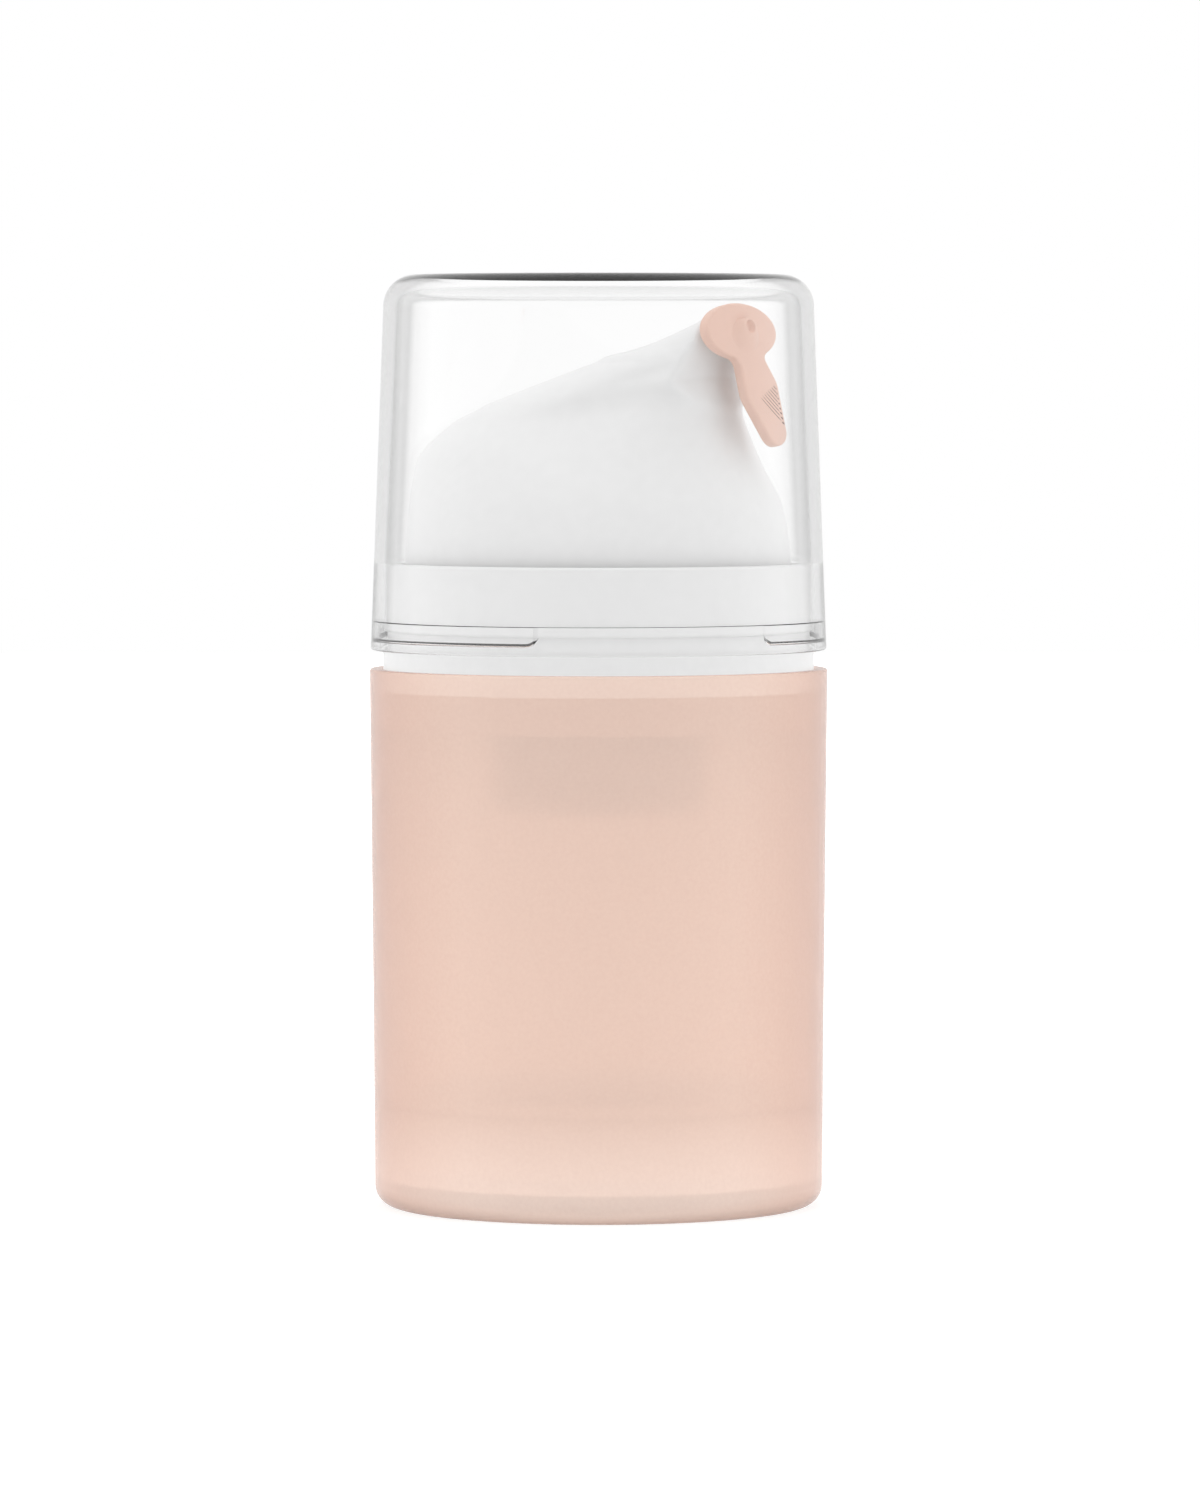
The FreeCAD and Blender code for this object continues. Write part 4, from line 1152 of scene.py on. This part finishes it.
class BOTTLE_OT_finish_inside(bpy.types.Operator):
    """Give the packed pieces that stay their finishes"""

    bl_idname = "bottle.finish_inside"
    bl_label = "Pump inside"

    def execute(self, context):
        colours = context.scene.bottle_finishes
        natural = frosted("natural plastic", colours.natural, roughness=0.35, clearness=0.5, bending=1.2,
                          scale=900, depth=0.004 * MM)
        finishes = {
            "natural_plastic": natural,
            "piston_white": moulded("piston white", colours.piston, 0.5),
            "soft_seal": moulded("soft seal", colours.seal, 0.6),
            "white_plastic": moulded("inside white", colours.white, 0.4),
            "spring_steel": steel(colours.steel),
        }
        for subpart in frame["record"]["subparts"]:
            finish = finishes.get(subpart["material_slot"])
            if finish is not None:
                node = frame["nodes"][subpart["node"]].data
                node.materials.clear()
                node.materials.append(finish)
        return {"FINISHED"}


# Stage

def ray_kinds(tree):
    """Outputs that tell camera rays, and the reflections and the rays through clear or frosted
    plastic that have met no matt surface."""
    path = add_node(tree, "LightPath").outputs
    direct = worked_out(tree, "LESS_THAN", path["Diffuse Depth"], 0.5)
    glossy = worked_out(tree, "MULTIPLY", path["Is Glossy Ray"], direct)
    through = worked_out(tree, "MULTIPLY", path["Is Transmission Ray"], direct)
    return path["Is Camera Ray"], glossy, through


def share_of(tree, share, first, second):
    """Mix of two values by a share, each a number or an output."""
    rest = worked_out(tree, "SUBTRACT", 1.0, share)
    return worked_out(tree, "MULTIPLY_ADD", first, rest, worked_out(tree, "MULTIPLY", second, share))


def reflected(tree, way, studio):
    """Strength that reflections show of the stage: dim in front, white at the sides and behind."""
    return mapped(tree, axes_of(tree, way)["Y"], GLOSS_SPAN, (studio.front_gloss, 1.0))


class BOTTLE_OT_build_stage(bpy.types.Operator):
    """Set up the floor, the light and the camera"""

    bl_idname = "bottle.build_stage"
    bl_label = "Stage"

    def execute(self, context):
        studio = context.scene.bottle_studio
        self.light(context.scene, studio)
        self.floor(studio)
        self.camera(context.scene, studio)
        context.scene.view_settings.view_transform = "Standard"
        return {"FINISHED"}

    def light(self, scene, studio):
        """World that is white to what looks at it, dimmer in front to reflections, and that
        lights the surfaces more from the sides, from above and from behind."""
        world = bpy.data.worlds.new("Studio")
        world.use_nodes = True
        scene.world = world
        tree = world.node_tree
        way = add_node(tree, "TexCoord").outputs["Generated"]
        axes = axes_of(tree, way)
        lit = studio.front
        for axis, least, more in (("X", -1, studio.sides), ("Z", 0, studio.above), ("Y", 0, studio.behind)):
            turned_to = worked_out(tree, "MAXIMUM", axes[axis], least)
            lit = worked_out(tree, "MULTIPLY_ADD", worked_out(tree, "POWER", turned_to, 2.0), more, lit)
        camera, glossy, through = ray_kinds(tree)
        strength = share_of(tree, glossy, lit, reflected(tree, way, studio))
        strength = share_of(tree, worked_out(tree, "MAXIMUM", camera, through), strength, 1.0)
        background = tree.nodes["Background"].inputs
        connect(tree, background["Strength"], strength)
        connect(tree, background["Color"], (1, 1, 1, 1))

    def floor(self, studio):
        """Pale floor under the bottle that shows white and keeps the shadow, and that reflections
        show like the world round it."""
        across, along = np.meshgrid((-FLOOR_REACH, FLOOR_REACH), (-FLOOR_REACH, FLOOR_REACH))
        corners = np.stack([across, along, np.zeros_like(across)], axis=-1)
        floor = new_surface("floor", corners, around=False)
        material = new_finish("pale floor", [FLOOR_PALENESS] * 3, FLOOR_ROUGHNESS)
        tree = material.node_tree
        camera, glossy, through = ray_kinds(tree)
        own = own_place(tree)
        away = add_node(tree, "VectorMath", {0: own}, operation="LENGTH").outputs["Value"]
        fade = mapped(tree, away, SHADOW_SPAN, SHADOW_SHOWN, interpolation_type="SMOOTHSTEP")
        way = add_node(tree, "VectorMath", {0: own}, operation="NORMALIZE").outputs["Vector"]
        shown = worked_out(tree, "MULTIPLY", camera, fade)
        gloss = worked_out(tree, "MULTIPLY", glossy, reflected(tree, way, studio))
        seen = worked_out(tree, "MAXIMUM", gloss, through)
        give(material, {
            "Base Color": worked_out(tree, "MULTIPLY_ADD", glossy, -FLOOR_PALENESS, FLOOR_PALENESS),
            "Emission Color": (1, 1, 1, 1),
            "Emission Strength": worked_out(tree, "MAXIMUM", shown, seen),
        })
        floor.data.materials.append(material)

    def camera(self, scene, studio):
        """Camera at the photograph's place, upright, with its lens from the focal length."""
        data = bpy.data.cameras.new("Camera")
        data.sensor_fit = "VERTICAL"
        data.sensor_height = 36.0
        data.lens = studio.focal_pixels / PHOTO_SIZE[1] * data.sensor_height
        data.clip_start = 0.01
        camera = bpy.data.objects.new("Camera", data)
        camera.location = (studio.offset, -studio.distance, studio.eye)
        aim = Vector((studio.offset, 0, studio.aim))
        camera.rotation_euler = (aim - camera.location).to_track_quat("-Z", "Y").to_euler()
        scene.collection.objects.link(camera)
        scene.camera = camera


OPERATORS = (
    BOTTLE_OT_build_bottle,
    BOTTLE_OT_build_collar,
    BOTTLE_OT_build_head,
    BOTTLE_OT_build_plug,
    BOTTLE_OT_build_spring,
    BOTTLE_OT_build_cap,
    BOTTLE_OT_finish_inside,
    BOTTLE_OT_build_stage,
)

SETTINGS = {
    "bottle_sizes": BottleSizes,
    "head_sizes": HeadSizes,
    "plug_sizes": PlugSizes,
    "cap_sizes": CapSizes,
    "spring_sizes": SpringSizes,
    "bottle_finishes": Finishes,
    "bottle_studio": Studio,
}


class BOTTLE_PT_panel(bpy.types.Panel):
    """Lists the pieces and the sizes they are built from"""

    bl_label = "Airless pump bottle"
    bl_space_type = "VIEW_3D"
    bl_region_type = "UI"
    bl_category = "Bottle"

    def draw(self, context):
        for operator in OPERATORS:
            self.layout.operator(operator.bl_idname)
        for name, group in SETTINGS.items():
            box = self.layout.box()
            box.label(text=group.__doc__)
            for word in group.__annotations__:
                box.prop(getattr(context.scene, name), word)


CLASSES = (*SETTINGS.values(), *OPERATORS, BOTTLE_PT_panel)


def register():
    for kind in CLASSES:
        bpy.utils.register_class(kind)
    for name, group in SETTINGS.items():
        setattr(bpy.types.Scene, name, PointerProperty(type=group))


def unregister():
    for name in SETTINGS:
        delattr(bpy.types.Scene, name)
    for kind in reversed(CLASSES):
        bpy.utils.unregister_class(kind)


def main():
    register()
    bpy.ops.bottle.build_bottle()
    bpy.ops.bottle.build_collar()
    bpy.ops.bottle.build_head()
    bpy.ops.bottle.build_plug()
    bpy.ops.bottle.build_spring()
    bpy.ops.bottle.build_cap()
    bpy.ops.bottle.finish_inside()
    bpy.ops.bottle.build_stage()


if __name__ == "__main__":
    main()
